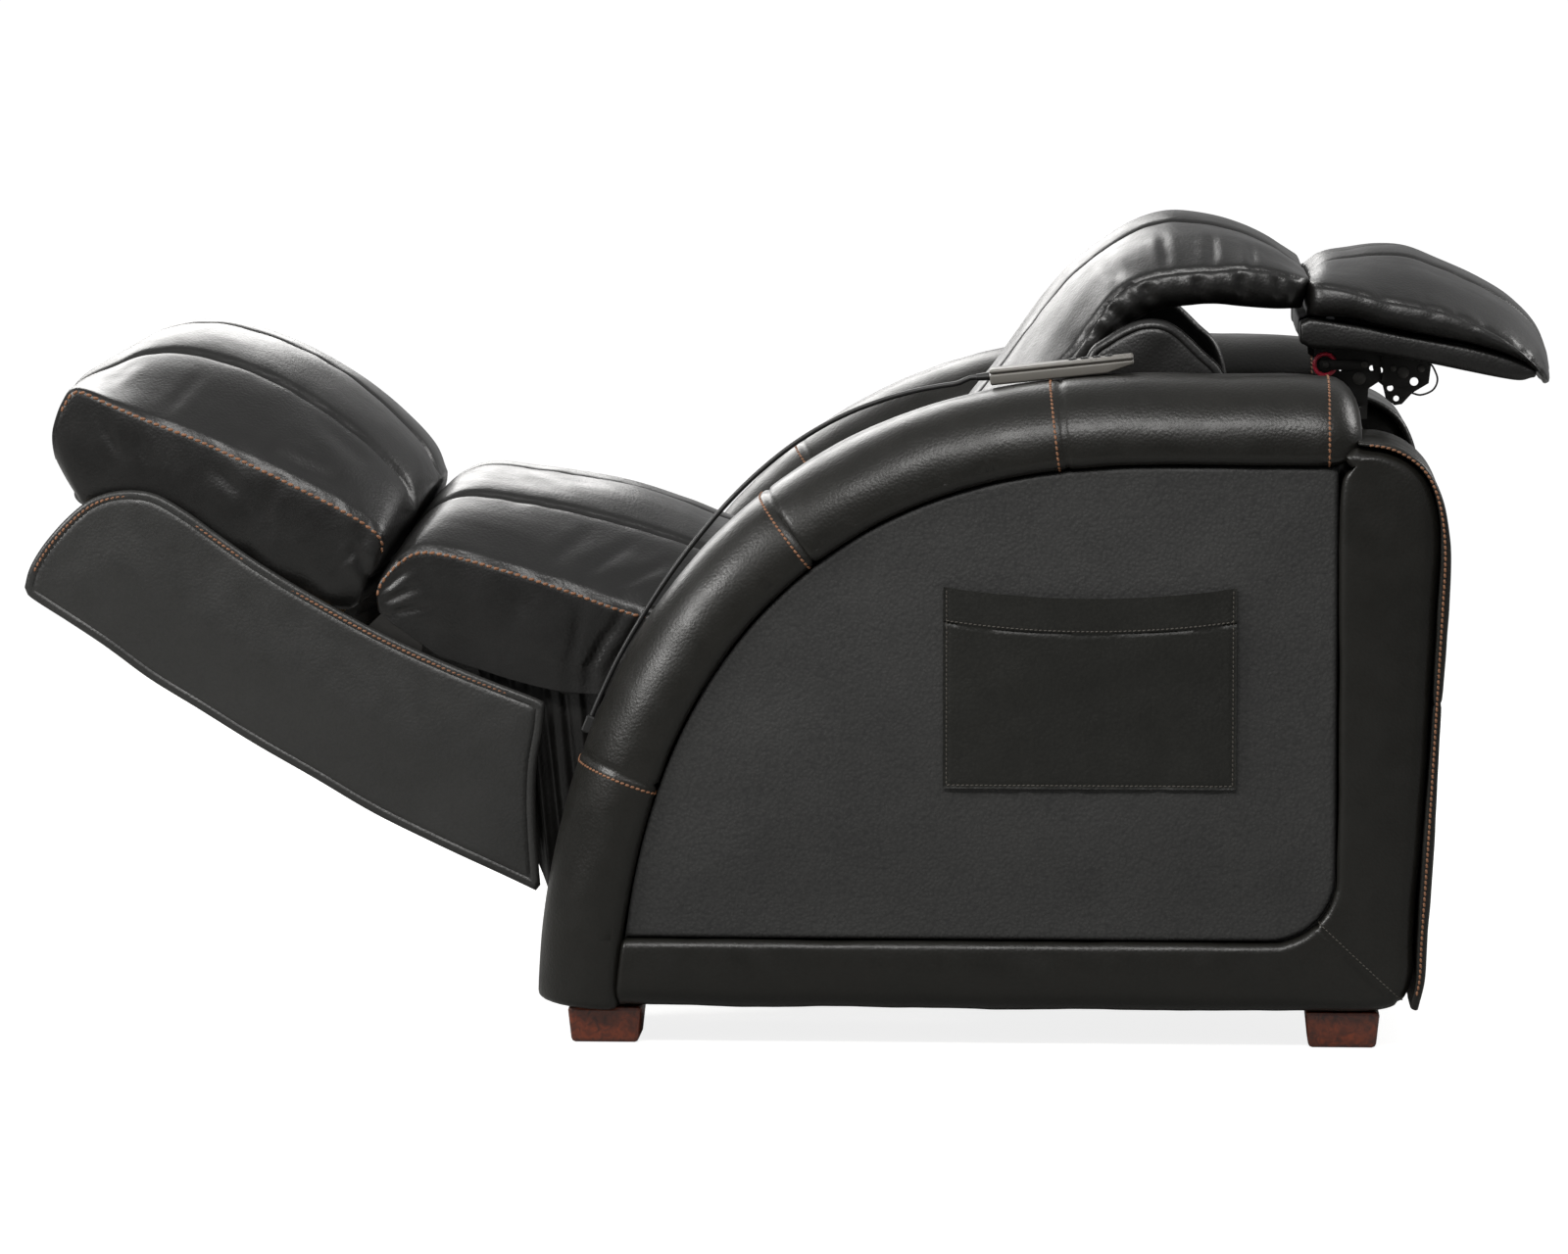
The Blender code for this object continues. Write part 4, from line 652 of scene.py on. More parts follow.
padSpecs = {
    "footCushion": {
        "body": "leg_rest", "slot": "foot_cushion", "seed": 3, "fill": 0.75, "halfWidth": 0.2625, "limit": 0.264,
        "corners": (0.045, 0.008), "step": 0.004, "across": 132, "sideRows": 26, "crownPower": 2.15,
        "sideBulge": 0.0015, "seamDepth": 0.0026, "channels": (0.0, 0.5), "flare": 0.22, "channelDepth": 0.008,
        "endPuff": 0.004, "drawIn": (0.018, 0.01),
        "folds": [
            ((-0.668, 0.575), (-0.745, 0.64), 0.007, 0.0035, True), ((-0.655, 0.6), (-0.7, 0.68), 0.006, 0.0028, True),
            ((-0.69, 0.56), (-0.79, 0.605), 0.006, 0.0022, True),
            ((-0.965, 0.672), (-0.925, 0.705), 0.005, 0.002, True),
            ((-0.9, 0.64), (-0.86, 0.69), 0.006, 0.0018, True),
            ((-0.694, 0.508), (-0.667, 0.447), 0.006, 0.0034, False),
            ((-0.678, 0.512), (-0.72, 0.47), 0.004, 0.0014, False),
            ((-0.962, 0.638), (-0.94, 0.594), 0.006, 0.0024, False),
            ((-0.885, 0.618), (-0.908, 0.56), 0.0016, 0.0016, False),
            ((-0.841, 0.588), (-0.812, 0.556), 0.007, 0.0024, False),
            ((-0.925, 0.628), (-0.915, 0.59), 0.005, 0.0018, False),
            ((-0.79, 0.56), (-0.78, 0.5), 0.01, 0.0016, False),
        ],
        "stations": [
            ((-1.03, 0.586), (-1.018, 0.588), (-1.000, 0.556)),
            ((-1.037, 0.616), (-1.016, 0.624), (-0.988, 0.547)),
            ((-1.027, 0.647), (-1.004, 0.656), (-0.974, 0.541)),
            ((-1.008, 0.673), (-0.988, 0.672), (-0.958, 0.5345)),
            ((-0.968, 0.7), (-0.95, 0.657), (-0.932, 0.5235)),
            ((-0.928, 0.722), (-0.911, 0.641), (-0.9, 0.5105)),
            ((-0.88, 0.73), (-0.859, 0.621), (-0.865, 0.4955)),
            ((-0.828, 0.722), (-0.806, 0.597), (-0.825, 0.479)),
            ((-0.772, 0.702), (-0.76, 0.575), (-0.79, 0.464)),
            ((-0.716, 0.669), (-0.712, 0.551), (-0.755, 0.45)),
            ((-0.668, 0.63), (-0.678, 0.531), (-0.725, 0.4375)),
            ((-0.634, 0.594), (-0.66, 0.513), (-0.702, 0.433)),
            ((-0.62, 0.562), (-0.66, 0.488), (-0.69, 0.438)),
        ],
        "gathers": [
            puckers("side", 0.03, 0.6, (0.04, 0.085), (0.005, 0.012), (0.025, 0.06), (0.0003, 0.0012)),
            puckers("bottom", 0.02, 0.55, (0.06, 0.11), (0.01, 0.02), (0.025, 0.045), (0.001, 0.003)),
            puckers("top", 0.05, 0.6, (0.035, 0.08), (0.005, 0.011), (0.012, 0.04), (0.0002, 0.0007)),
        ],
        "channelGathers": puckers("", 0.05, 0.6, (0.03, 0.07), (0.005, 0.01), (0.01, 0.028), (0.0002, 0.0007)),
        "stitches": (0.0055, 0.12, 0.985),  # off the seam, from and to in shares of the length
    },
    "seatCushion": {
        "body": "seat", "slot": "seat_cushion", "seed": 11, "fill": 0.75, "halfWidth": 0.2622, "limit": 0.2636,
        "corners": (0.008, 0.022), "step": 0.0042, "across": 132, "sideRows": 26, "crownPower": 2.3,
        "sideBulge": 0.0006, "seamDepth": 0.0026, "channels": (0.0, 0.56), "channelDepth": 0.008, "endPuff": 0.003,
        "drawIn": (0.002, 0.004), "tuck": 0.001, "hem": {"drop": 0.024, "from": -0.66, "lip": 0.2513},
        "folds": [
            ((-0.666, 0.44), (-0.62, 0.462), 0.0045, 0.0028, False),
            ((-0.668, 0.448), (-0.63, 0.482), 0.004, 0.0024, False),
            ((-0.66, 0.43), (-0.605, 0.44), 0.0045, 0.0022, False),
            ((-0.397, 0.44), (-0.462, 0.34), 0.006, 0.006, False),
            ((-0.421, 0.428), (-0.438, 0.375), 0.005, 0.003, False),
            ((-0.446, 0.45), (-0.462, 0.348), 0.009, 0.0034, False),
            ((-0.372, 0.435), (-0.425, 0.365), 0.007, 0.005, False), ((-0.5, 0.47), (-0.54, 0.4), 0.014, 0.0018, False),
            ((-0.455, 0.468), (-0.385, 0.51), 0.006, 0.0024, True),
            ((-0.425, 0.455), (-0.35, 0.485), 0.005, 0.0026, True),
            ((-0.49, 0.48), (-0.43, 0.525), 0.007, 0.0016, True),
        ],
        "stations": [
            ((-0.66, 0.462), (-0.669, 0.452), (-0.667, 0.434)),
            ((-0.65, 0.5), (-0.662, 0.47), (-0.655, 0.428)),
            ((-0.625, 0.54), (-0.645, 0.489), (-0.63, 0.42)),
            ((-0.598, 0.564), (-0.622, 0.501), (-0.6, 0.408)),
            ((-0.566, 0.574), (-0.586, 0.497), (-0.565, 0.397)),
            ((-0.516, 0.569), (-0.53, 0.482), (-0.52, 0.383)),
            ((-0.46, 0.561), (-0.47, 0.463), (-0.465, 0.3715)),
            ((-0.406, 0.551), (-0.405, 0.44), (-0.4, 0.369)),
            ((-0.352, 0.533), (-0.345, 0.424), (-0.345, 0.369)),
            ((-0.302, 0.513), (-0.3, 0.418), (-0.3, 0.369)),
            ((-0.22, 0.491), (-0.22, 0.412), (-0.22, 0.369)),
            ((-0.13, 0.47), (-0.13, 0.408), (-0.13, 0.369)),
            ((-0.05, 0.45), (-0.05, 0.404), (-0.05, 0.369)),
            ((-0.024, 0.43), (-0.024, 0.4), (-0.024, 0.378)),
        ],
        "gathers": [
            puckers("side", 0.0, 0.8, (0.035, 0.08), (0.005, 0.012), (0.02, 0.05), (0.0003, 0.001)),
            puckers("top", 0.05, 0.7, (0.035, 0.08), (0.005, 0.011), (0.012, 0.04), (0.0002, 0.0006)),
        ],
        "channelGathers": puckers("", 0.03, 0.6, (0.03, 0.07), (0.005, 0.01), (0.01, 0.028), (0.0002, 0.0007)),
        "stitches": (0.0055, 0.01, 0.97),
    },
    "backCushion": {
        "body": "back", "slot": "back_cushion", "seed": 23, "fill": 0.8, "halfWidth": 0.245, "step": 0.0036,
        "across": 132, "sideRows": 16, "crownPower": 2.6, "sideBulge": 0.004, "seamDepth": 0.0036,
        "channels": (0.0, 0.4), "channelDepth": 0.0075, "endPuff": 0.006,
        "folds": [
            ((0.176, 0.8), (0.168, 0.838), 0.005, 0.0024, True), ((0.224, 0.803), (0.222, 0.838), 0.005, 0.0026, True),
            ((0.268, 0.803), (0.262, 0.828), 0.004, 0.0024, True), ((0.128, 0.79), (0.106, 0.806), 0.006, 0.0024, True),
            ((0.148, 0.788), (0.16, 0.762), 0.006, 0.004, False),
            ((0.205, 0.798), (0.214, 0.764), 0.006, 0.0036, False),
            ((0.252, 0.8), (0.258, 0.764), 0.005, 0.0036, False), ((0.108, 0.765), (0.13, 0.74), 0.007, 0.0045, False),
            ((0.29, 0.796), (0.296, 0.762), 0.004, 0.0026, False),
        ],
        "stations": [
            ((-0.064, 0.598), (-0.03, 0.575), (0.05, 0.505)),
            ((-0.048, 0.64), (0.000, 0.622), (0.062, 0.552)),
            ((-0.016, 0.683), (0.03, 0.66), (0.08, 0.612)),
            ((0.01, 0.72), (0.054, 0.69), (0.088, 0.66)),
            ((0.037, 0.758), (0.076, 0.716), (0.1, 0.699)),
            ((0.068, 0.794), (0.094, 0.742), (0.118, 0.724)),
            ((0.101, 0.82), (0.116, 0.772), (0.138, 0.743)),
            ((0.137, 0.842), (0.146, 0.791), (0.163, 0.755)),
            ((0.175, 0.853), (0.184, 0.799), (0.192, 0.76)),
            ((0.216, 0.85), (0.226, 0.802), (0.224, 0.762)),
            ((0.254, 0.84), (0.257, 0.804), (0.256, 0.759)),
            ((0.288, 0.824), (0.29, 0.8), (0.289, 0.757)),
            ((0.316, 0.803), (0.324, 0.789), (0.318, 0.758)),
        ],
        "gathers": [
            puckers("side", 0.06, 0.5, (0.035, 0.07), (0.004, 0.009), (0.014, 0.03), (0.0006, 0.002)),
            puckers("top", 0.06, 0.5, (0.035, 0.08), (0.005, 0.01), (0.012, 0.034), (0.0002, 0.0008)),
            puckers("bottom", 0.26, 0.5, (0.03, 0.055), (0.007, 0.012), (0.012, 0.026), (0.0006, 0.002)),
        ],
        "channelGathers": puckers("", 0.03, 0.5, (0.03, 0.06), (0.005, 0.009), (0.01, 0.028), (0.0002, 0.0007)),
    },
    "headrestCushion": {
        "body": "headrest", "slot": "headrest_cushion", "seed": 37, "fill": 0.8, "halfWidth": 0.2455,
        "corners": (0.022, 0.05), "step": 0.0034, "across": 128, "sideRows": 18, "crownPower": 2.5,
        "sideBulge": 0.005, "tuck": 0.004, "seamDepth": 0.0032, "channels": (0.0, 0.4), "channelDepth": 0.007,
        "endPuff": 0.003,
        "stations": [
            ((0.33, 0.791), (0.3265, 0.785), (0.3245, 0.7515)),
            ((0.346, 0.806), (0.342, 0.785), (0.338, 0.75)),
            ((0.374, 0.812), (0.372, 0.78), (0.374, 0.7475)),
            ((0.406, 0.817), (0.402, 0.772), (0.4, 0.74)),
            ((0.438, 0.815), (0.433, 0.766), (0.43, 0.734)),
            ((0.472, 0.802), (0.465, 0.76), (0.46, 0.728)),
            ((0.509, 0.785), (0.5, 0.747), (0.495, 0.7215)),
            ((0.546, 0.763), (0.535, 0.729), (0.528, 0.7125)),
            ((0.572, 0.738), (0.56, 0.71), (0.554, 0.7015)),
            ((0.585, 0.713), (0.574, 0.693), (0.57, 0.688)),
            ((0.588, 0.69), (0.582, 0.679), (0.578, 0.677)),
        ],
        "gathers": [
            puckers("side", 0.02, 0.28, (0.028, 0.06), (0.004, 0.007), (0.01, 0.024), (0.0005, 0.0016)),
            puckers("top", 0.08, 0.28, (0.024, 0.05), (0.004, 0.008), (0.012, 0.034), (0.0004, 0.0014)),
        ],
        "channelGathers": puckers("", 0.02, 0.28, (0.03, 0.06), (0.005, 0.008), (0.01, 0.026), (0.0002, 0.0006)),
    },
}
for name, spec in padSpecs.items():
    makePad(name, spec)
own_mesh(bpy.data.objects["backCushion"])
print("cushions made")


# Arms: padded rolls swept between the outer and the inner line of the side view
armSpec = {
    "middle": (0.18, -0.033), "reach": 0.665, "rise": 0.73, "power": 2.33, "roll": 0.09, "foot": 0.0383,
    "inside": 0.284, "outside": 0.484, "rollEnd": 0.376, "panelRear": 0.352, "panelBottom": 0.1118,
    "panelCorner": 0.07, "panelOut": 0.4715, "seams": (0.245, 0.56, 0.866), "seamDepth": 0.0026,
    "stitchOff": 0.0085, "rollGap": 0.0012, "thins": (0.27, 0.1, 0.008),  # the roll thins towards its rear end
}


def armLine(spec, count=900):
    start = math.asin(((spec["foot"] - spec["middle"][1]) / spec["rise"]) ** (spec["power"] / 2))
    turn = np.linspace(start, math.pi / 2, count)
    c, s = np.cos(turn).clip(0), np.sin(turn)
    y = spec["middle"][0] - spec["reach"] * c ** (2 / spec["power"])
    z = spec["middle"][1] + spec["rise"] * s ** (2 / spec["power"])
    ny = -(c ** (2 - 2 / spec["power"])) / spec["reach"]
    nz = s ** (2 - 2 / spec["power"]) / spec["rise"]
    length = np.hypot(ny, nz)
    return np.stack([y, z], 1), np.stack([ny / length, nz / length], 1)


def slabSection(halfX, depth, spec):
    # one ring of a padded slab: x across, b down from the outer line (0) to the inner one (depth)
    small = min(spec["smallRound"], depth * 0.35)
    big = min(spec["bigRound"], (depth - small) * 0.995)
    arcs = []
    for k, (sx, sb, radius) in enumerate(((1, 0, big), (1, 1, small), (-1, 1, small), (-1, 0, big))):
        a = np.radians(np.linspace(-90 + 90 * k, 90 * k, 9))
        middleB = radius if sb == 0 else depth - radius
        arcs.append(np.column_stack([sx * (halfX - radius) + radius * np.cos(a), middleB + radius * np.sin(a)]))
    parts = []
    for arc, after, count in zip(arcs, arcs[1:] + arcs[:1], spec["flatRows"]):
        t = (np.arange(1, count) / count)[:, None]
        parts += [arc, arc[-1] * (1 - t) + after[0] * t]
    x, b = np.vstack(parts).T
    sideways = np.abs(x) / halfX
    x = x - np.sign(x) * spec["sideCrown"] * (1 - np.sin(math.pi * np.clip(b / depth, 0, 1))) * sideways**8
    b = b + spec["topCrown"] * sideways**2 * (1 - b / depth)
    return x, b


def sweptSlab(name, outer, inner, side, spec, seams, seed, caps):
    middleX = side * (spec["inside"] + spec["outside"]) / 2
    halfX = (spec["outside"] - spec["inside"]) / 2
    depths = np.linalg.norm(outer - inner, axis=1)
    rings = []
    for o, i, depth in zip(outer, inner, depths):
        x, b = slabSection(halfX, depth, spec)
        inward = (i - o) / depth
        rings.append(np.column_stack([middleX + side * x, o[0] + inward[0] * b, o[1] + inward[1] * b]))
    grid = np.array(rings)
    run = along((outer + inner) / 2)
    normal = gridNormals(grid, grid.mean(axis=1, keepdims=True))
    move = ripple(grid, 0.16, seed) * 0.0007 + ripple(grid, 0.05, seed + 3) * 0.00018
    ringRun = along(grid[len(grid) // 2])
    for k, (place, depth) in enumerate(seams):
        far = np.abs(run - place)[:, None]
        move += groove(far, 0.0016, depth) - 0.35 * depth * np.exp(-far / 0.01)
        beside = puckers("", 0, ringRun[-1], (0.016, 0.045), (0.003, 0.006), (0.008, 0.02), (0.0001, 0.0005))
        move += gathers(ringRun[None], far, beside, seed + k)
    for end in (0, -1):
        if caps[end] > 0.015:
            far = np.abs(run - run[end])[:, None]
            atEnd = puckers("", 0, ringRun[-1], (0.012, 0.02), (0.003, 0.005), (0.01, 0.022), (0.0006, 0.0016))
            move += gathers(ringRun[None], far, atEnd, seed + 19)
    grid = grid + normal * move[..., None]
    normal = gridNormals(grid, grid.mean(axis=1, keepdims=True))
    closing = []
    for end, near, radius in zip((0, -1), (4, -5), caps):
        middle = grid[end].mean(axis=0)
        outward = middle - grid[near].mean(axis=0)
        outward /= np.linalg.norm(outward)
        half = np.array([halfX, depths[end] / 2, depths[end] / 2])
        rings = []
        for a in (15, 30, 45, 60, 75, 86):
            rise = outward * radius * math.sin(math.radians(a))
            sink = radius * (1 - math.cos(math.radians(a)))
            rings.append(middle + (grid[end] - middle) * (1 - sink / half) + rise)
        rim = rings[-1] - middle - rise
        for share in (0.8, 0.55, 0.3):
            rings.append(middle + rim * share + outward * radius * (1.0 + 0.03 * (1 - share)))
        closing.append(rings)
    piece = closedGrid(name, withCaps(grid, *closing))
    smooth(piece, 70)
    return piece, grid, normal, run


def lineAcross(grid, normal, run, place):
    # a line round the surface at one distance along a roll
    points, facing = (
        np.array([pickAlong(place, run, values[:, j]) for j in range(grid.shape[1])]) for values in (grid, normal)
    )
    facing = unit(facing)
    return points + facing * skin, facing


rollSection = {"bigRound": 0.076, "smallRound": 0.012, "flatRows": (14, 22, 14, 22), "sideCrown": 0.0035,
               "topCrown": 0.004}
borderSection = {"bigRound": 0.018, "smallRound": 0.009, "flatRows": (14, 22, 14, 22), "sideCrown": 0.003,
                 "topCrown": 0.002}


def makeArmRoll(side, word):
    line, facing = armLine(armSpec)
    top = armSpec["middle"][1] + armSpec["rise"]
    flat = np.array([(y, top) for y in np.linspace(armSpec["middle"][0] + 0.004, armSpec["rollEnd"] - 0.034, 60)])
    line = np.vstack([line, flat])
    facing = np.vstack([facing, np.tile([0.0, 1.0], (len(flat), 1))])
    run = along(line)
    places = np.linspace(0.01, run[-1], 300)
    outer = pickAlong(places, run, line)
    out = unit(pickAlong(places, run, facing))
    start, length, depth = armSpec["thins"]
    sag = np.clip((outer[:, 0] - start) / length, 0, 1) ** 2 * depth
    outer = outer - out * sag[:, None]
    inner = outer - out * (armSpec["roll"] - armSpec["rollGap"] - sag)[:, None]
    node = f"arm_roll_{word.lower()}"
    seams = [(place, armSpec["seamDepth"]) for place in armSpec["seams"]]
    piece, grid, normal, run = sweptSlab(
        f"armRoll{word}", outer, inner, side, armSpec | rollSection, seams, 71 if side > 0 else 83, (0.008, 0.034)
    )
    finishPiece(piece, "base", finishes["arm"], node, (node,))
    places = [place - armSpec["stitchOff"] for place in armSpec["seams"]] + [run[-1]]
    rows = [stitchRow(*lineAcross(grid, normal, run, place), armStitch) for place in places]
    stitchPiece(f"armStitches{word}", rows, "base", node)


# Arm border: one padded length along the bottom, round the corner and up the rear post
borderSpec = {
    "foot": 0.1106, "rear": 0.353, "post": 0.3535, "mitreKnot": 8.0, "seamDepth": 0.0016, "stitchOff": 0.004,
    "outerFoot": [(-0.392, 0.0415), (-0.3, 0.039), (-0.15, 0.0383), (0.05, 0.0383), (0.2, 0.0383), (0.285, 0.0383),
                  (0.335, 0.0383), (0.388, 0.0388), (0.419, 0.048), (0.4325, 0.074), (0.435, 0.114), (0.4375, 0.162)],
    "innerTop": [(0.3538, 0.566), (0.355, 0.586), (0.3575, 0.597), (0.362, 0.603), (0.368, 0.606)],
    "postLine": [(0.4435, 0.26), (0.449, 0.36), (0.4545, 0.46), (0.4572, 0.515), (0.4545, 0.56), (0.444, 0.592),
                 (0.426, 0.612), (0.402, 0.624), (0.374, 0.628)],
}


def matchedLines(inner, outer):
    # both lines with points at matching places, and the distance run midway between them
    u = evenNumbers([inner, outer], 0.004)
    innerLine, outerLine = curveAt(inner, u), curveAt(outer, u)
    return u, innerLine, outerLine, along((innerLine + outerLine) / 2)


def makeArmBorder(side, word, spec):
    inner = [(y, spec["foot"]) for y in (-0.384, -0.3, -0.15, 0.05, 0.2)]
    r = armSpec["panelCorner"]
    for a in range(0, 91, 15):
        t = math.radians(a)
        inner.append((spec["rear"] - r + r * math.sin(t), spec["foot"] + r - r * math.cos(t)))
    inner += [(spec["post"], z) for z in (0.26, 0.36, 0.46, 0.53)] + spec["innerTop"]
    u, innerLine, outerLine, run = matchedLines(inner, spec["outerFoot"] + spec["postLine"])
    mitre = float(np.interp(spec["mitreKnot"], u, run))
    piece, grid, normal, run = sweptSlab(
        f"armBorder{word}", outerLine, innerLine, side, armSpec | borderSection, [(mitre, spec["seamDepth"])],
        91 if side > 0 else 97, (0.006, 0.014)
    )
    node = f"side_rail_{word.lower()}"
    finishPiece(piece, "base", finishes["arm"], node, (node, f"rear_post_{word.lower()}"))
    row = stitchRow(*lineAcross(grid, normal, run, mitre + spec["stitchOff"]), fineStitch)
    stitchPiece(f"mitreStitches{word}", [row], "base", node, "blackThread")


# Edge of the cover's leather, wrapped round the rear post and stitched
edgeSpec = {
    "inner": [(0.429, 0.048), (0.4345, 0.074), (0.436, 0.114), (0.4385, 0.162)] + borderSpec["postLine"],
    "outer": [(0.438, 0.044), (0.4445, 0.074), (0.4465, 0.114), (0.4495, 0.162), (0.4555, 0.26), (0.4605, 0.36),
              (0.4655, 0.46), (0.467, 0.52), (0.461, 0.566), (0.448, 0.6), (0.429, 0.6195), (0.403, 0.6315),
              (0.374, 0.6345)],
    "stand": 0.0004, "lifted": 0.58, "join": 0.365, "seamDepth": 0.0012, "outside": 0.48,
}
wrapSection = {"bigRound": 0.005, "smallRound": 0.0028, "flatRows": (8, 34, 8, 34), "sideCrown": 0.0006,
               "topCrown": 0.0}


def makeCoverEdge(side, word, spec):
    stand = spec["stand"]
    inner = [(y + stand, z + (stand if z > spec["lifted"] else 0)) for y, z in spec["inner"]]
    u, innerLine, outerLine, run = matchedLines(inner, spec["outer"])
    lower = len(run) // 2
    join = float(np.interp(spec["join"], (innerLine[:, 1] + outerLine[:, 1])[:lower] / 2, run[:lower]))
    section = armSpec | wrapSection | {"outside": spec["outside"]}
    piece, grid, normal, run = sweptSlab(
        f"coverEdge{word}", outerLine, innerLine, side, section, [(join, spec["seamDepth"])], 44, (0.003, 0.003)
    )
    finishPiece(piece, "base", finishes["arm"], "rear_cover")
    row = 9 + wrapSection["flatRows"][0] // 2 - 2
    points, facing = grid[3:-2, row], normal[3:-2, row]
    stitchPiece(f"coverStitches{word}", [stitchRow(points + facing * skin, facing, armStitch)], "base", "rear_cover")


for side, word in sides:
    makeArmRoll(side, word)
    makeArmBorder(side, word, borderSpec)
    makeCoverEdge(side, word, edgeSpec)
print("arms made")


# Flat padded pieces: a height over an outline, rounded at the edges
def evenLoop(points, step):
    points = np.asarray(points, float)
    keep = np.linalg.norm(points - np.roll(points, 1, axis=0), axis=1) > 1e-5
    points = points[keep]
    closed = np.vstack([points, points[:1]])
    run = along(closed)
    turn = np.arctan2(*(np.roll(points, -1, axis=0) - points).T[::-1])
    bend = np.abs((turn - np.roll(turn, 1) + math.pi) % (2 * math.pi) - math.pi)
    sharp = np.where(bend > math.radians(30))[0]
    stops = sorted({0.0, *run[sharp].tolist(), float(run[-1])})
    places = []
    for a, b in zip(stops[:-1], stops[1:]):
        count = max(int(round((b - a) / step)), 1)
        places += np.linspace(a, b, count, endpoint=False).tolist()
    return pickAlong(places, run, closed)


def edgeDistance(points, loop):
    a, b = loop, np.roll(loop, -1, axis=0)
    d = b - a
    best = np.full(len(points), 9.0)
    for start in range(0, len(points), 4000):
        p = points[start : start + 4000, None]
        t = np.clip(((p - a) * d).sum(-1) / ((d * d).sum(-1) + 1e-15), 0, 1)
        best[start : start + 4000] = np.linalg.norm(p - a - t[..., None] * d, axis=-1).min(axis=1)
    return best


def insideLoop(points, loop):
    a, b = loop, np.roll(loop, -1, axis=0)
    odd = np.zeros(len(points), bool)
    for (y0, z0), (y1, z1) in zip(a, b):
        crosses = (z0 > points[:, 1]) != (z1 > points[:, 1])
        with np.errstate(divide="ignore", invalid="ignore"):
            odd ^= crosses & (points[:, 0] < (y1 - y0) * (points[:, 1] - z0) / (z1 - z0) + y0)
    return odd


def fieldPoints(loop, spec):
    # points that fill an outline, closer together near its edge
    area = 0.5 * np.sum(loop[:, 0] * np.roll(loop[:, 1], -1) - np.roll(loop[:, 0], -1) * loop[:, 1])
    ahead = unit(np.roll(loop, -1, axis=0) - np.roll(loop, 1, axis=0))
    inward = np.stack([-ahead[:, 1], ahead[:, 0]], 1) * (1 if area > 0 else -1)
    rings = []
    for depth in spec["rings"]:
        ring = loop + inward * depth
        far = edgeDistance(ring, loop)
        rings.append(ring[(far > depth * 0.93) & insideLoop(ring, loop)])
    low, high = loop.min(axis=0), loop.max(axis=0)
    step = spec["fill"]
    y, z = np.meshgrid(np.arange(low[0], high[0], step), np.arange(low[1], high[1], step * 0.866), indexing="ij")
    y = y + (np.arange(z.shape[1]) % 2)[None] * step / 2
    inner = np.stack([y.ravel(), z.ravel()], 1)
    inner = inner[insideLoop(inner, loop)]
    inner = inner[edgeDistance(inner, loop) > spec["rings"][-1] + step * 0.6]
    return np.vstack(rings + [inner])


def softPlate(name, outline, thick, spec, toSpace, relief=None):
    # toSpace takes (points in the outline's plane, height above the back face) to 3D
    loop = evenLoop(outline, spec["step"])
    more = fieldPoints(loop, spec)
    flat = np.vstack([loop, more])
    edges = [(i, (i + 1) % len(loop)) for i in range(len(loop))]
    result = delaunay_2d_cdt([Vector(p) for p in flat.tolist()], edges, [], 1, 1e-7)
    flat = np.array([tuple(p) for p in result[0]])
    faces = [list(face) for face in result[2]]
    far = edgeDistance(flat, loop)
    radius = min(spec["round"], thick * 0.5)
    drop = radius - np.sqrt(np.clip(radius**2 - np.clip(radius - far, 0, radius) ** 2, 0, None))
    crown = spec["crown"] * (1 - np.exp(-((far / spec["crownReach"]) ** 2)))
    front = thick - drop + crown + (relief(flat, far) if relief else 0)
    back = drop
    count = len(flat)
    points = np.vstack([toSpace(flat, front), toSpace(flat, back)])
    allFaces = faces + [[v + count for v in face[::-1]] for face in faces]
    rim = {}
    for face in faces:
        for a, b in zip(face, face[1:] + face[:1]):
            rim[(a, b)] = rim.get((a, b), 0) + 1
    for a, b in rim:
        if (b, a) not in rim:
            allFaces.append([b, a, a + count, b + count])
    piece = meshFrom(name, points, allFaces)
    faceOutwards(piece)
    smooth(piece, 60)
    return piece


def sideSpace(side, x0):
    def toSpace(flat, height):
        return np.column_stack([side * (x0 + height), flat])
    return toSpace


def sideRelief(waves, piping=None):
    # swells by (wave, seed, height), and the dip of a seam that follows the edge
    def relief(flat, far):
        swell = np.column_stack([0 * far, flat])
        height = sum(ripple(swell, wave, seed) * high for wave, seed, high in waves)
        return height + groove(np.abs(far - piping), 0.0014, 0.0014) if piping else height
    return relief


def panelLoop(spec, inset):
    line, facing = armLine(spec, 260)
    line = line - facing * (spec["roll"] + inset)
    bottom = spec["panelBottom"] + inset
    keep = line[line[:, 1] > bottom + 0.002]
    low = np.array([[np.interp(bottom, line[:, 1], line[:, 0]), bottom]])
    rear = spec["panelRear"] - inset
    r = spec["panelCorner"] - inset
    corner = [(rear - r + r * math.cos(t), bottom + r - r * math.sin(t)) for t in np.linspace(0, math.pi / 2, 16)]
    return np.vstack([low, keep, [(rear, keep[-1, 1])], corner])[::-1]


panelSpec = {"step": 0.006, "rings": (0.0008, 0.002, 0.0038, 0.006, 0.01, 0.016), "fill": 0.009, "round": 0.006,
             "crown": 0.0055, "crownReach": 0.09, "thick": 0.01, "waves": ((0.2, 5, 0.0008), (0.05, 6, 0.00015))}
for side, word in sides:
    node, back = f"arm_panel_{word.lower()}", armSpec["panelOut"] - panelSpec["thick"]
    piece = softPlate(f"armPanel{word}", panelLoop(armSpec, skin), panelSpec["thick"], panelSpec,
                      sideSpace(side, back), sideRelief(panelSpec["waves"]))
    finishPiece(piece, "base", finishes["panel"], node, (node,))
print("panels made")


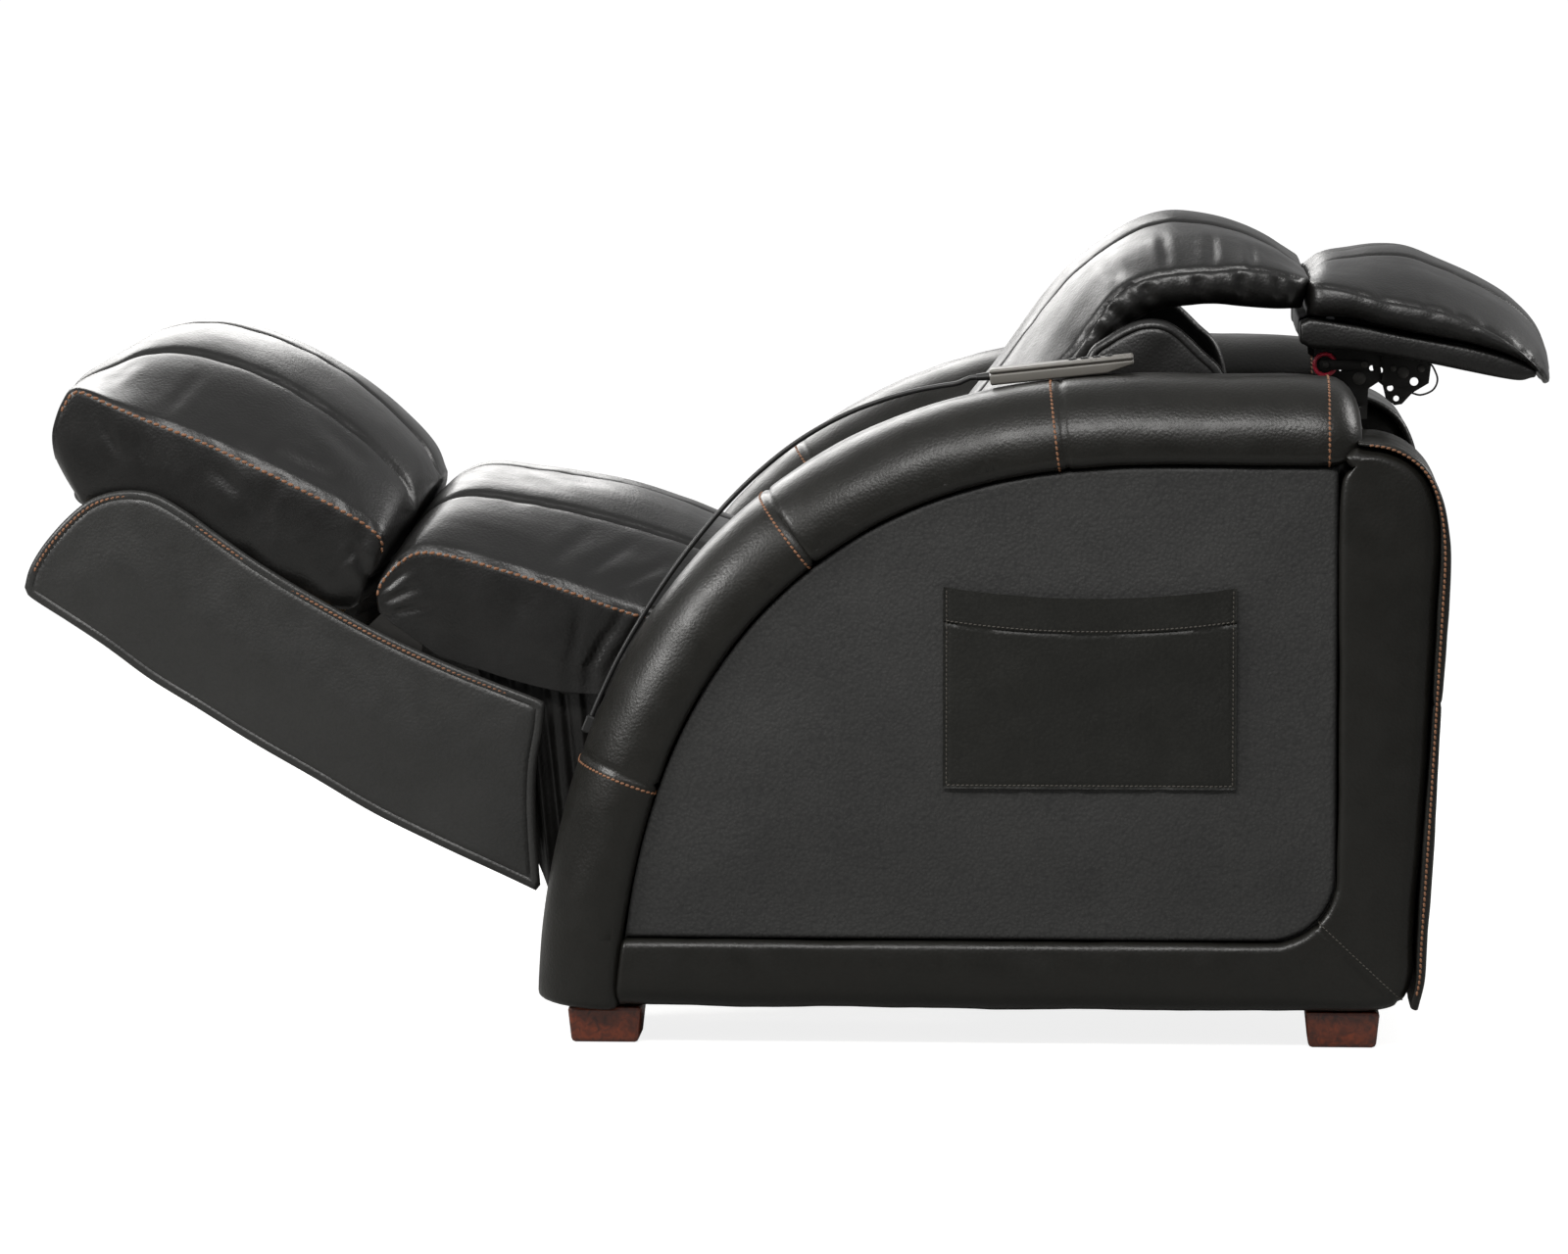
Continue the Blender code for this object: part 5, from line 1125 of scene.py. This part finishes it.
# Side pocket: a flap sewn on three sides, its top edge slack
pocketSpec = {
    "front": -0.0555, "rear": 0.2478, "bottom": 0.272, "top": 0.482, "sag": 0.0105, "hem": 0.0365,
    "columns": 128, "rows": 92, "gape": 0.0065, "thick": 0.0022, "seam": 0.0035, "stand": 0.006,
}


def makePocket(spec):
    across = np.linspace(0, 1, spec["columns"])
    up = np.linspace(0, 1, spec["rows"])
    y = spec["front"] + (spec["rear"] - spec["front"]) * across[:, None] + 0 * up[None]
    edge = spec["top"] - spec["sag"] * np.sin(math.pi * across) ** 0.8 - 0.0025 * across * (1 - across)
    z = spec["bottom"] + (edge - spec["bottom"])[:, None] * up[None]
    fromSide = np.minimum(y - spec["front"], spec["rear"] - y)
    fromBottom = z - spec["bottom"]
    belly = (1 - np.exp(-fromSide / 0.03)) * (1 - np.exp(-fromBottom / 0.045))
    height = 0.0012 + spec["gape"] * belly * (0.35 + 0.65 * up[None] ** 2.2) * np.sin(math.pi * across)[:, None] ** 0.7
    swell = np.dstack([0 * y, y, z])
    height += ripple(swell, 0.12, 61) * 0.0007 * belly + ripple(swell, 0.035, 62) * 0.00022
    fromHem = np.abs(edge[:, None] - spec["hem"] - 0.0015 * np.sin(3 * across)[:, None] - z)
    height += groove(fromHem, 0.0014, 0.0018) + 0.0008 * (edge[:, None] - z < spec["hem"])
    fromSeam = np.minimum(fromSide, fromBottom)
    inset = spec["seam"]
    height += groove(np.abs(fromSeam - inset), 0.0016, 0.0014)
    pull = puckers("", 0, 0.3, (0.05, 0.09), (0.006, 0.011), (0.02, 0.045), (0.0004, 0.0012))
    height += gathers(y - spec["front"], z - spec["bottom"], pull, 64)
    x0 = armSpec["panelOut"] + spec["stand"]
    front = np.dstack([x0 + height + spec["thick"], y, z])
    back = np.dstack([x0 + np.minimum(height, spec["gape"] * 2), y, z])
    piece = sheetPiece("sidePocket", front, back)
    finishPiece(piece, "base", finishes["pocket"], "side_pocket", ("side_pocket",))

    def sample(ys, zs):
        i = (ys - spec["front"]) / (spec["rear"] - spec["front"]) * (spec["columns"] - 1)
        top = np.interp(i, np.arange(spec["columns"]), edge)
        j = (zs - spec["bottom"]) / (top - spec["bottom"]) * (spec["rows"] - 1)
        i = np.clip(np.round(i).astype(int), 0, spec["columns"] - 1)
        j = np.clip(np.round(j).astype(int), 0, spec["rows"] - 1)
        return np.column_stack([front[i, j, 0] + skin, ys, zs])

    t = np.linspace(0, 1, 120)
    wide = spec["rear"] - spec["front"]
    down = spec["front"] + inset + 0 * t, spec["top"] - 0.003 + (spec["bottom"] + inset - spec["top"] + 0.003) * t
    floor = spec["front"] + inset + (wide - 2 * inset) * t, spec["bottom"] + inset + 0 * t
    rise = spec["rear"] - inset + 0 * t, spec["bottom"] + inset + (spec["top"] - 0.003 - spec["bottom"] - inset) * t
    hem = spec["front"] + 0.002 + (wide - 0.004) * t
    hem = hem, np.interp(hem, y[:, 0], edge) - spec["hem"] + 0.0022
    facing = np.tile([1.0, 0, 0], (len(t), 1))
    lines = [stitchRow(sample(ys, zs), facing, fineStitch) for ys, zs in (down, floor, rise, hem)]
    stitchPiece("pocketStitches", lines, "base", "side_pocket", "blackThread")


makePocket(pocketSpec)


# Rear cover: a padded sheet behind the posts, dipped between the arms
coverSpec = {
    "bottom": 0.044, "top": 0.57, "dip": 0.49, "inner": 0.284, "thick": 0.0135, "rear": 0.4283, "lean": 0.05,
    "plate": {"step": 0.008, "rings": (0.001, 0.0025, 0.0045, 0.007, 0.012, 0.02), "fill": 0.014, "round": 0.0065,
              "crown": 0.002, "crownReach": 0.03},
}


def makeRearCover(spec):
    w = spec["inner"] - 0.0005
    outline = [(-w, spec["bottom"]), (w, spec["bottom"]), (w, spec["top"])]
    for x in np.linspace(w - 0.01, -w + 0.01, 40):
        outline.append((x, spec["dip"] + (spec["top"] - spec["dip"]) * (abs(x) / w) ** 6))
    outline += [(-w, spec["top"])]

    def toSpace(flat, height):
        rear = spec["rear"] + spec["lean"] * (flat[:, 1] - 0.0383)
        return np.column_stack([flat[:, 0], rear + height, flat[:, 1]])

    def relief(flat, far):
        swell = np.column_stack([flat[:, 0], 0 * far, flat[:, 1]])
        return ripple(swell, 0.25, 15) * 0.001 + ripple(swell, 0.06, 16) * 0.0002

    piece = softPlate("rearCover", outline, spec["thick"] - 0.002, spec["plate"], toSpace, relief)
    finishPiece(piece, "base", finishes["arm"], "rear_cover", ("rear_cover",))


makeRearCover(coverSpec)
print("cover made")


# Leg rest sides: curved padded boards, edged with thread
wingSpec = {
    "knots": [
        (-1.045, 0.458), (-1.039, 0.479), (-1.023, 0.505), (-0.998, 0.533), (-0.972, 0.553), (-0.94, 0.562),
        (-0.905, 0.559), (-0.87, 0.54), (-0.838, 0.517), (-0.79, 0.484), (-0.73, 0.448), (-0.66, 0.41),
        (-0.597, 0.381), (-0.545, 0.36), (-0.5, 0.343),
    ],
    "rear": [(-0.488, 0.338), (-0.4865, 0.331), (-0.489, 0.305), (-0.495, 0.271), (-0.497, 0.229), (-0.495, 0.18),
             (-0.492, 0.14)],
    "bottom": [
        (-0.497, 0.134), (-0.546, 0.157), (-0.609, 0.186), (-0.672, 0.217), (-0.735, 0.254), (-0.798, 0.29),
        (-0.861, 0.329), (-0.913, 0.361), (-0.966, 0.4), (-1.03, 0.441), (-1.042, 0.45),
    ],
    "plate": {"step": 0.0045, "rings": (0.0008, 0.002, 0.0035, 0.005, 0.0065, 0.0075, 0.0085, 0.0095, 0.011, 0.015),
              "fill": 0.008, "round": 0.006, "crown": 0.0085, "crownReach": 0.085},
    "inside": 0.266, "outside": 0.276, "waves": ((0.16, 25, 0.0011), (0.05, 26, 0.00018)), "piping": 0.0095,
    "stitchOff": 0.0062,
}


def makeWing(side, word, spec):
    topLine = smoothPath(spec["knots"], 0.004)
    outline = np.vstack([topLine, smoothPath(spec["rear"], 0.004), smoothPath(spec["bottom"], 0.004)])
    node = f"leg_rest_side_{word.lower()}"
    piece = softPlate(f"legRestSide{word}", outline, spec["outside"] - spec["inside"] - 0.001, spec["plate"],
                      sideSpace(side, spec["inside"]), sideRelief(spec["waves"], spec["piping"]))
    finishPiece(piece, "leg_rest", finishes["wing"], node, (node,))
    ahead = unit(np.gradient(topLine, axis=0))
    inner = topLine + np.stack([ahead[:, 1], -ahead[:, 0]], 1) * spec["stitchOff"]
    points = np.column_stack([np.full(len(inner), side * (spec["outside"] - 0.0007)), inner])[5:-5]
    facing = np.column_stack([np.full(len(points), side * 1.0), -0.1 * ahead[5:-5, 1], 0.1 * ahead[5:-5, 0]])
    stitchPiece(f"wingStitches{word}", [stitchRow(points, facing, armStitch)], "leg_rest", node)


for side, word in sides:
    makeWing(side, word, wingSpec)
print("leg rest sides made")


# Bolsters beside the back cushion
finSpec = {
    "knots": [
        (0.078, 0.64), (0.084, 0.69), (0.094, 0.716), (0.109, 0.728), (0.127, 0.739), (0.144, 0.746), (0.16, 0.748),
        (0.176, 0.745), (0.191, 0.736), (0.212, 0.716), (0.236, 0.69), (0.246, 0.64), (0.234, 0.556), (0.16, 0.52),
        (0.09, 0.49), (0.078, 0.56),
    ],
    "plate": {"step": 0.004, "rings": (0.001, 0.0025, 0.0045, 0.007, 0.0085, 0.01, 0.0115, 0.014, 0.02),
              "fill": 0.008, "round": 0.008, "crown": 0.002, "crownReach": 0.02},
    "inside": 0.2488, "outside": 0.2738, "waves": ((0.06, 35, 0.0006),), "piping": 0.01,
}
for side, word in sides:
    knots, node = finSpec["knots"] + finSpec["knots"][:1], f"back_bolster_{word.lower()}"
    piece = softPlate(
        f"backBolster{word}", smoothPath(knots, 0.004)[:-1], finSpec["outside"] - finSpec["inside"] - 0.0015,
        finSpec["plate"], sideSpace(side, finSpec["inside"]), sideRelief(finSpec["waves"], finSpec["piping"])
    )
    finishPiece(piece, "back", finishes["cushion"], node, (node,))
print("bolsters made")


# Headrest base: a leather covered roll under the cushion, over the tilt plates
headBaseSpec = {
    "top": [(0.3205, 0.744), (0.331, 0.7465), (0.371, 0.741), (0.433, 0.729), (0.496, 0.717), (0.545, 0.704),
            (0.563, 0.696)],
    "bottom": [(0.3205, 0.72), (0.331, 0.716), (0.372, 0.7135), (0.433, 0.7035), (0.496, 0.6915), (0.545, 0.6825),
               (0.563, 0.6855)],
    "half": 0.235, "slot": 0.1668, "middle": 0.1468,  # the plates stand in the slots
}
headBaseSection = {"bigRound": 0.0048, "smallRound": 0.0048, "flatRows": (8, 30, 8, 30), "sideCrown": 0.0015,
                   "topCrown": 0.0}


def makeHeadBase(spec):
    u = evenNumbers([spec["top"], spec["bottom"]], 0.003)
    top, bottom = curveAt(spec["top"], u), curveAt(spec["bottom"], u)
    for word, inside, outside in (("Left", spec["slot"], spec["half"]), ("Middle", -spec["middle"], spec["middle"]),
                                  ("Right", -spec["half"], -spec["slot"])):
        section = {"inside": inside, "outside": outside} | headBaseSection
        piece = sweptSlab(f"headrestBase{word}", top, bottom, 1, section, [], 55, (0.004, 0.004))[0]
        finishPiece(piece, "headrest", finishes["cushion"], "headrest_board", ("headrest_board",))


makeHeadBase(headBaseSpec)


# Handset: two moulded shells with a fine joint line, its tail end cut away below
handsetSpec = {
    "middle": (0.362, 0.06597, 0.69213), "along": (0.99441, 0.10556), "wide": 0.046, "long": 0.1512,
    "bottom": 0.0002, "joint": 0.012, "top": 0.0168, "gap": 0.0003, "rise": 0.0066, "cut": 0.047, "narrow": 0.94,
    "tail": (0.06, 0.005), "edge": 0.003,
}


def makeHandset(spec):
    shells = (("Lower", spec["bottom"], spec["joint"] - spec["gap"]), ("Upper", spec["joint"], spec["top"]))
    for word, low, high in shells:
        bpy.ops.object.select_all(action="DESELECT")
        bpy.ops.mesh.primitive_cube_add(size=1, location=(0, 0, 0))
        shell = bpy.context.active_object
        shell.name = f"handset{word}"
        bpy.ops.object.mode_set(mode="EDIT")
        bpy.ops.mesh.select_all(action="SELECT")
        bpy.ops.transform.resize(value=(spec["wide"], spec["long"], high - low))
        bpy.ops.transform.translate(value=(0, 0, (high + low) / 2))
        if word == "Lower":
            # one cut across, then the tail's lower edge is lifted
            bpy.ops.mesh.bisect(plane_co=(0, spec["cut"], 0), plane_no=(0, 1, 0))
            bpy.ops.object.mode_set(mode="OBJECT")
            behind, below = spec["tail"]
            for vertex in shell.data.vertices:
                if vertex.co.y > behind and vertex.co.z < below:
                    vertex.co.z += spec["rise"]
                    vertex.co.x *= spec["narrow"]
            bpy.ops.object.mode_set(mode="EDIT")
        bpy.ops.object.mode_set(mode="OBJECT")
        bevel = shell.modifiers.new("edges", "BEVEL")
        bevel.width, bevel.segments = spec["edge"], 4
        bevel.limit_method, bevel.angle_limit = "ANGLE", math.radians(30)
        bpy.ops.object.modifier_apply(modifier="edges")
        x, y, z = spec["middle"]
        c, s = spec["along"]
        for vertex in shell.data.vertices:
            a, n = vertex.co.y, vertex.co.z
            vertex.co = (x + vertex.co.x, y + chairY + a * c - n * s, z + a * s + n * c)
        bpy.ops.object.shade_smooth_by_angle(angle=math.radians(35))
        finishPiece(shell, "base", finishes["handset"], f"handset_{word.lower()}", (f"handset_{word.lower()}",))


makeHandset(handsetSpec)


# Headrest plates: pressed steel with holes, rivets and a wire loop
plateSpecs = {
    "headrestBracket": {
        "body": "back", "x": (0.15, 0.153), "replaces": "headrest_bracket",
        "outline": [(0.372, 0.6353), (0.39, 0.6353), (0.3915, 0.668), (0.4065, 0.678), (0.403, 0.701), (0.398, 0.722),
                    (0.388, 0.7322), (0.362, 0.744), (0.3455, 0.7443), (0.341, 0.7385), (0.337, 0.729), (0.3335, 0.7),
                    (0.3345, 0.688), (0.343, 0.6815), (0.36, 0.674), (0.3715, 0.67)],
        "holes": [(0.381, 0.65, 0.003), (0.3955, 0.69, 0.0032), (0.362, 0.689, 0.0026)],
        "rivets": [(0.345, 0.6941, 0.0052), (0.382, 0.679, 0.0066), (0.35, 0.74, 0.005)],
    },
    "headrestLink": {
        "body": "back", "x": (0.1622, 0.164), "replaces": "headrest_bracket",
        "outline": [(0.34, 0.6975), (0.34, 0.6905), (0.345, 0.6885), (0.372, 0.689), (0.39, 0.6905), (0.3935, 0.6945),
                    (0.39, 0.6985), (0.372, 0.6985), (0.345, 0.6995)],
        "holes": [], "rivets": [(0.346, 0.6941, 0.003), (0.387, 0.6945, 0.0034)],
    },
    "headrestHinge": {
        "body": "headrest", "x": (0.157, 0.1598), "replaces": "headrest_hinge_plate",
        "outline": [(0.342, 0.735), (0.35, 0.7318), (0.398, 0.72), (0.4075, 0.7), (0.4068, 0.6735), (0.4105, 0.658),
                    (0.42, 0.6508), (0.4275, 0.652), (0.4385, 0.664), (0.456, 0.6745), (0.4585, 0.696), (0.453, 0.718),
                    (0.438, 0.727), (0.4, 0.737), (0.362, 0.7465), (0.346, 0.7465), (0.3405, 0.742)],
        "holes": [(0.415, 0.669, 0.0036), (0.4405, 0.676, 0.0048), (0.4215, 0.6578, 0.0034), (0.423, 0.705, 0.003)],
        "rivets": [(0.429, 0.686, 0.0058), (0.448, 0.69, 0.0036), (0.351, 0.7395, 0.0055), (0.418, 0.69, 0.003)],
        "wire": [(0.45, 0.6985), (0.4575, 0.6955), (0.4625, 0.6881), (0.4655, 0.6776), (0.4606, 0.6671),
                 (0.4481, 0.6618), (0.4376, 0.664)],
    },
}


rivetHigh, wireRadius, wireAside, edgeRound = 0.0014, 0.0011, 0.0016, 0.0003


def flatCurve(name, outlines, x, body, finish, slot, replaces=()):
    # outlines in side view, each closed; a loop inside another is a hole
    curve = bpy.data.curves.new(name, "CURVE")
    curve.dimensions, curve.fill_mode = "2D", "BOTH"
    curve.extrude = abs(x[1] - x[0]) / 2 - edgeRound
    curve.bevel_depth, curve.bevel_resolution = edgeRound, 1
    for outline in outlines:
        spline = curve.splines.new("POLY")
        spline.points.add(len(outline) - 1)
        for point, (y, z) in zip(spline.points, outline):
            point.co = (y, z, 0, 1)
        spline.use_cyclic_u = True
    piece = bpy.data.objects.new(name, curve)
    bpy.context.scene.collection.objects.link(piece)
    piece = asMesh(piece)
    middle = (x[0] + x[1]) / 2
    for vertex in piece.data.vertices:
        y, z, h = vertex.co
        vertex.co = (middle + h, y + chairY, z)
    bpy.ops.object.mode_set(mode="EDIT")
    bpy.ops.mesh.select_all(action="SELECT")
    bpy.ops.mesh.remove_doubles(threshold=0.00001)
    bpy.ops.mesh.normals_make_consistent(inside=False)
    bpy.ops.object.mode_set(mode="OBJECT")
    bpy.ops.object.shade_smooth_by_angle(angle=math.radians(30))
    return finishPiece(piece, body, finish, slot, replaces)


def circleAt(y, z, radius, count=28):
    turn = np.linspace(0, 2 * math.pi, count, endpoint=False)
    return [(y + radius * math.cos(t), z + radius * math.sin(t)) for t in turn]


# Red wire ring on the left plate, open where its link crosses
ringSpec = {"middle": (0.1592, 0.345, 0.6941), "radius": 0.0112, "wire": 0.0023, "open": (24, 338)}


def makeHeadRing(spec):
    x, y, z = spec["middle"]
    turn = np.radians(np.linspace(*spec["open"], 60))
    points = [(x, y + chairY + spec["radius"] * math.cos(t), z + spec["radius"] * math.sin(t)) for t in turn]
    piece = asMesh(wireCurve("headrestRing", points, spec["wire"], 5))
    smooth(piece, 50)
    finishPiece(piece, "back", finishes["redPlastic"], "headrest_ring", ("headrest_ring",))


makeHeadRing(ringSpec)


def makeHeadPlates(side, word):
    for name, spec in plateSpecs.items():
        outline = [tuple(p) for p in evenLoop(spec["outline"], 0.0025)]
        node = f"{spec['replaces']}_{word.lower()}"
        x0, x1 = (side * v for v in spec["x"])
        holes = [circleAt(*hole) for hole in spec["holes"]]
        stands = () if name == "headrestLink" else (node,)
        flatCurve(name + word, [outline] + holes, (x0, x1), spec["body"], finishes["steel"], node, stands)
        for k, (y, z, radius) in enumerate(spec["rivets"]):
            reach = (min(x0, x1) - rivetHigh, max(x0, x1) + rivetHigh)
            flatCurve(f"{name}Rivet{k + 1}{word}", [circleAt(y, z, radius)], reach, spec["body"],
                      finishes["steelLight"], node)
        if "wire" in spec:
            middle = (x0 + x1) / 2 + side * wireAside
            points = [(middle, y + chairY, z) for y, z in smoothPath(spec["wire"], 0.002)]
            piece = asMesh(wireCurve(f"headrestWire{word}", points, wireRadius, 3))
            smooth(piece, 40)
            finishPiece(piece, spec["body"], finishes["steelLight"], node)


for side, word in sides:
    makeHeadPlates(side, word)
print("handset and headrest plates made")


# Pleated flaps that close the gap under the seat's sides
flapSpec = {
    "front": -0.56, "rear": -0.395, "bottom": 0.118, "x": 0.244, "pleat": 0.005, "pitch": 0.024, "thick": 0.0016,
    "columns": 90, "rows": 60, "topLine": ((-0.56, -0.52, -0.462, -0.458, -0.395), (0.388, 0.376, 0.364, 0.35, 0.35)),
}


def makeFlap(side, word, spec):
    columns, rows = spec["columns"], spec["rows"]
    y = np.linspace(spec["front"], spec["rear"], columns)
    high = np.interp(y, *spec["topLine"])
    low = spec["bottom"] + np.clip((-0.48 - y) / 0.08, 0, 1) * 0.2
    t = np.linspace(0, 1, rows)
    z = high[:, None] + (low - high)[:, None] * t[None]
    lean = y[:, None] + 0 * t[None]
    phase = 2 * math.pi * (y[:, None] + 0.1 * (z - 0.3)) / spec["pitch"]
    pleats = spec["pleat"] * (0.25 + 0.75 * t[None]) * (np.sin(phase) + 0.25 * np.sin(2.3 * phase + 1.0)) / 1.2
    x = side * (spec["x"] + pleats)
    front = np.dstack([x, lean, z])
    back = np.dstack([x - side * spec["thick"], lean, z])
    piece = sheetPiece(f"seatFlap{word}", front, back)
    finishPiece(piece, "seat", finishes["cushion"], "seat_cushion")
    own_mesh(piece)


for side, word in sides:
    makeFlap(side, word, flapSpec)
print("headrest base and flaps made")


# Carried-over parts get their finishes
nodeFinishes = {
    "arm": ["arm_core_left", "arm_core_right", "back_board", "leg_rest_skin"],
    "wood": ["foot_front_left", "foot_front_right", "foot_rear_left", "foot_rear_right"],
    "board": ["front_cross_rail", "rear_cross_rail", "seat_deck", "leg_rest_board"],
    "steel": ["runner_rail_left", "runner_rail_right", "seat_side_plate_left", "seat_side_plate_right", "seat_carriage",
              "leg_rest_frame", "back_frame"],
    "zinc": ["drive_rail", "back_drive_rail", "headrest_shaft"],
    "blackPlastic": ["drive_motor", "power_inlet", "back_drive_motor", "back_drive_block", "headrest_motor",
                     "handset_gland", "cord_socket", "handset_button_1", "handset_button_2", "handset_button_3",
                     "handset_button_4"],
}
for finish, names in nodeFinishes.items():
    for name in names:
        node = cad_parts[name]
        node.data.materials.clear()
        node.data.materials.append(finishes[finish])
print("finishes given")


# Studio: pale floor, white surround, soft boxes
studioSpec = {
    "floor": {"corners": ((-4.4, -4.0), (3.4, 4.0)), "colour": "#9a9a98", "glow": 0.84},
    "fill": (0.15, 0.55), "low": 0.5,
    "lights": [
        {"name": "overCamera", "place": (3.1, -0.2, 3.4), "aim": (0.4, -0.1, 0.5), "size": (2.6, 0.8), "power": 140},
        {"name": "footSide", "place": (1.7, -3.2, 2.3), "aim": (0.1, -0.7, 0.5), "size": (1.4, 0.7), "power": 110},
        {"name": "headSide", "place": (-0.9, 3.6, 2.6), "aim": (-0.9, 0.4, 0.1), "size": (2.2, 1.4), "power": 95},
        {"name": "behind", "place": (-3.2, -1.35, 2.4), "aim": (0.0, -0.5, 0.4), "size": (2.6, 2.4), "power": 115},
    ],
}


def makeStudio(spec):
    bpy.ops.object.select_all(action="DESELECT")
    (x0, y0), (x1, y1) = spec["floor"]["corners"]
    bpy.ops.mesh.primitive_plane_add(size=1, location=((x0 + x1) / 2, (y0 + y1) / 2, -0.0005))
    floor = bpy.context.active_object
    floor.name = "floor"
    floor.scale = (x1 - x0, y1 - y0, 1)
    material, tree, shader, place = newMaterial("paleStudioFloor", {"Roughness": 0.9, "Specular IOR Level": 0.1})
    shader.inputs["Base Color"].default_value = hexColour(spec["floor"]["colour"])
    shader.inputs["Emission Color"].default_value = (1, 1, 1, 1)
    # only the camera sees the floor's glow, so it stays white without lighting the chair from below
    path = addNode(tree, "ShaderNodeLightPath")
    glowing = addNode(
        tree, "ShaderNodeMath", {"operation": "MULTIPLY"}, {0: path.outputs["Is Camera Ray"], 1: spec["floor"]["glow"]}
    )
    tree.links.new(glowing.outputs["Value"], shader.inputs["Emission Strength"])
    # the floor fades out towards its rim, so no edge shows
    far = addNode(tree, "ShaderNodeVectorMath", {"operation": "LENGTH"}, {0: place})
    fade = addNode(
        tree, "ShaderNodeMapRange", {"interpolation_type": "SMOOTHSTEP"},
        {"Value": far.outputs["Value"], "From Min": 0.3, "From Max": 0.495, "To Min": 1.0, "To Max": 0.0},
    )
    tree.links.new(fade.outputs["Result"], shader.inputs["Alpha"])
    floor.data.materials.append(material)
    for light in spec["lights"]:
        data = bpy.data.lights.new(light["name"], "AREA")
        data.shape = "RECTANGLE"
        data.size, data.size_y = light["size"]
        data.energy = light["power"]
        data.color = (1.0, 0.988, 0.972)
        lamp = bpy.data.objects.new(light["name"], data)
        bpy.context.scene.collection.objects.link(lamp)
        lamp.location = light["place"]
        aim = Vector(light["aim"]) - Vector(light["place"])
        lamp.rotation_euler = aim.to_track_quat("-Z", "Y").to_euler()
    bpy.context.scene.view_settings.view_transform = "Standard"
    world = bpy.data.worlds.new("studio")
    bpy.context.scene.world = world
    world.use_nodes = True
    tree = world.node_tree
    background = tree.nodes["Background"]
    # the far side of the studio is brighter than the rest, and the wall behind is white
    place = addNode(tree, "ShaderNodeTexCoord")
    parts = addNode(tree, "ShaderNodeSeparateXYZ", None, {"Vector": place.outputs["Generated"]})
    high = addNode(
        tree, "ShaderNodeMapRange", {"interpolation_type": "SMOOTHSTEP"},
        {"Value": parts.outputs["Z"], "From Min": -0.05, "From Max": 0.75, "To Min": spec["fill"][0],
         "To Max": spec["fill"][1]},
    )
    glow = addNode(
        tree, "ShaderNodeMapRange", {"interpolation_type": "SMOOTHSTEP"},
        {"Value": parts.outputs["X"], "From Min": -0.985, "From Max": -0.84, "To Min": spec["low"],
         "To Max": high.outputs["Result"]},
    )
    seen = addNode(tree, "ShaderNodeLightPath")
    level = addNode(
        tree, "ShaderNodeMapRange", None,
        {"Value": seen.outputs["Is Camera Ray"], "To Min": glow.outputs["Result"], "To Max": 1.05},
    )
    tree.links.new(level.outputs["Result"], background.inputs["Strength"])
    background.inputs["Color"].default_value = (1, 1, 1, 1)


makeStudio(studioSpec)
print("studio set")
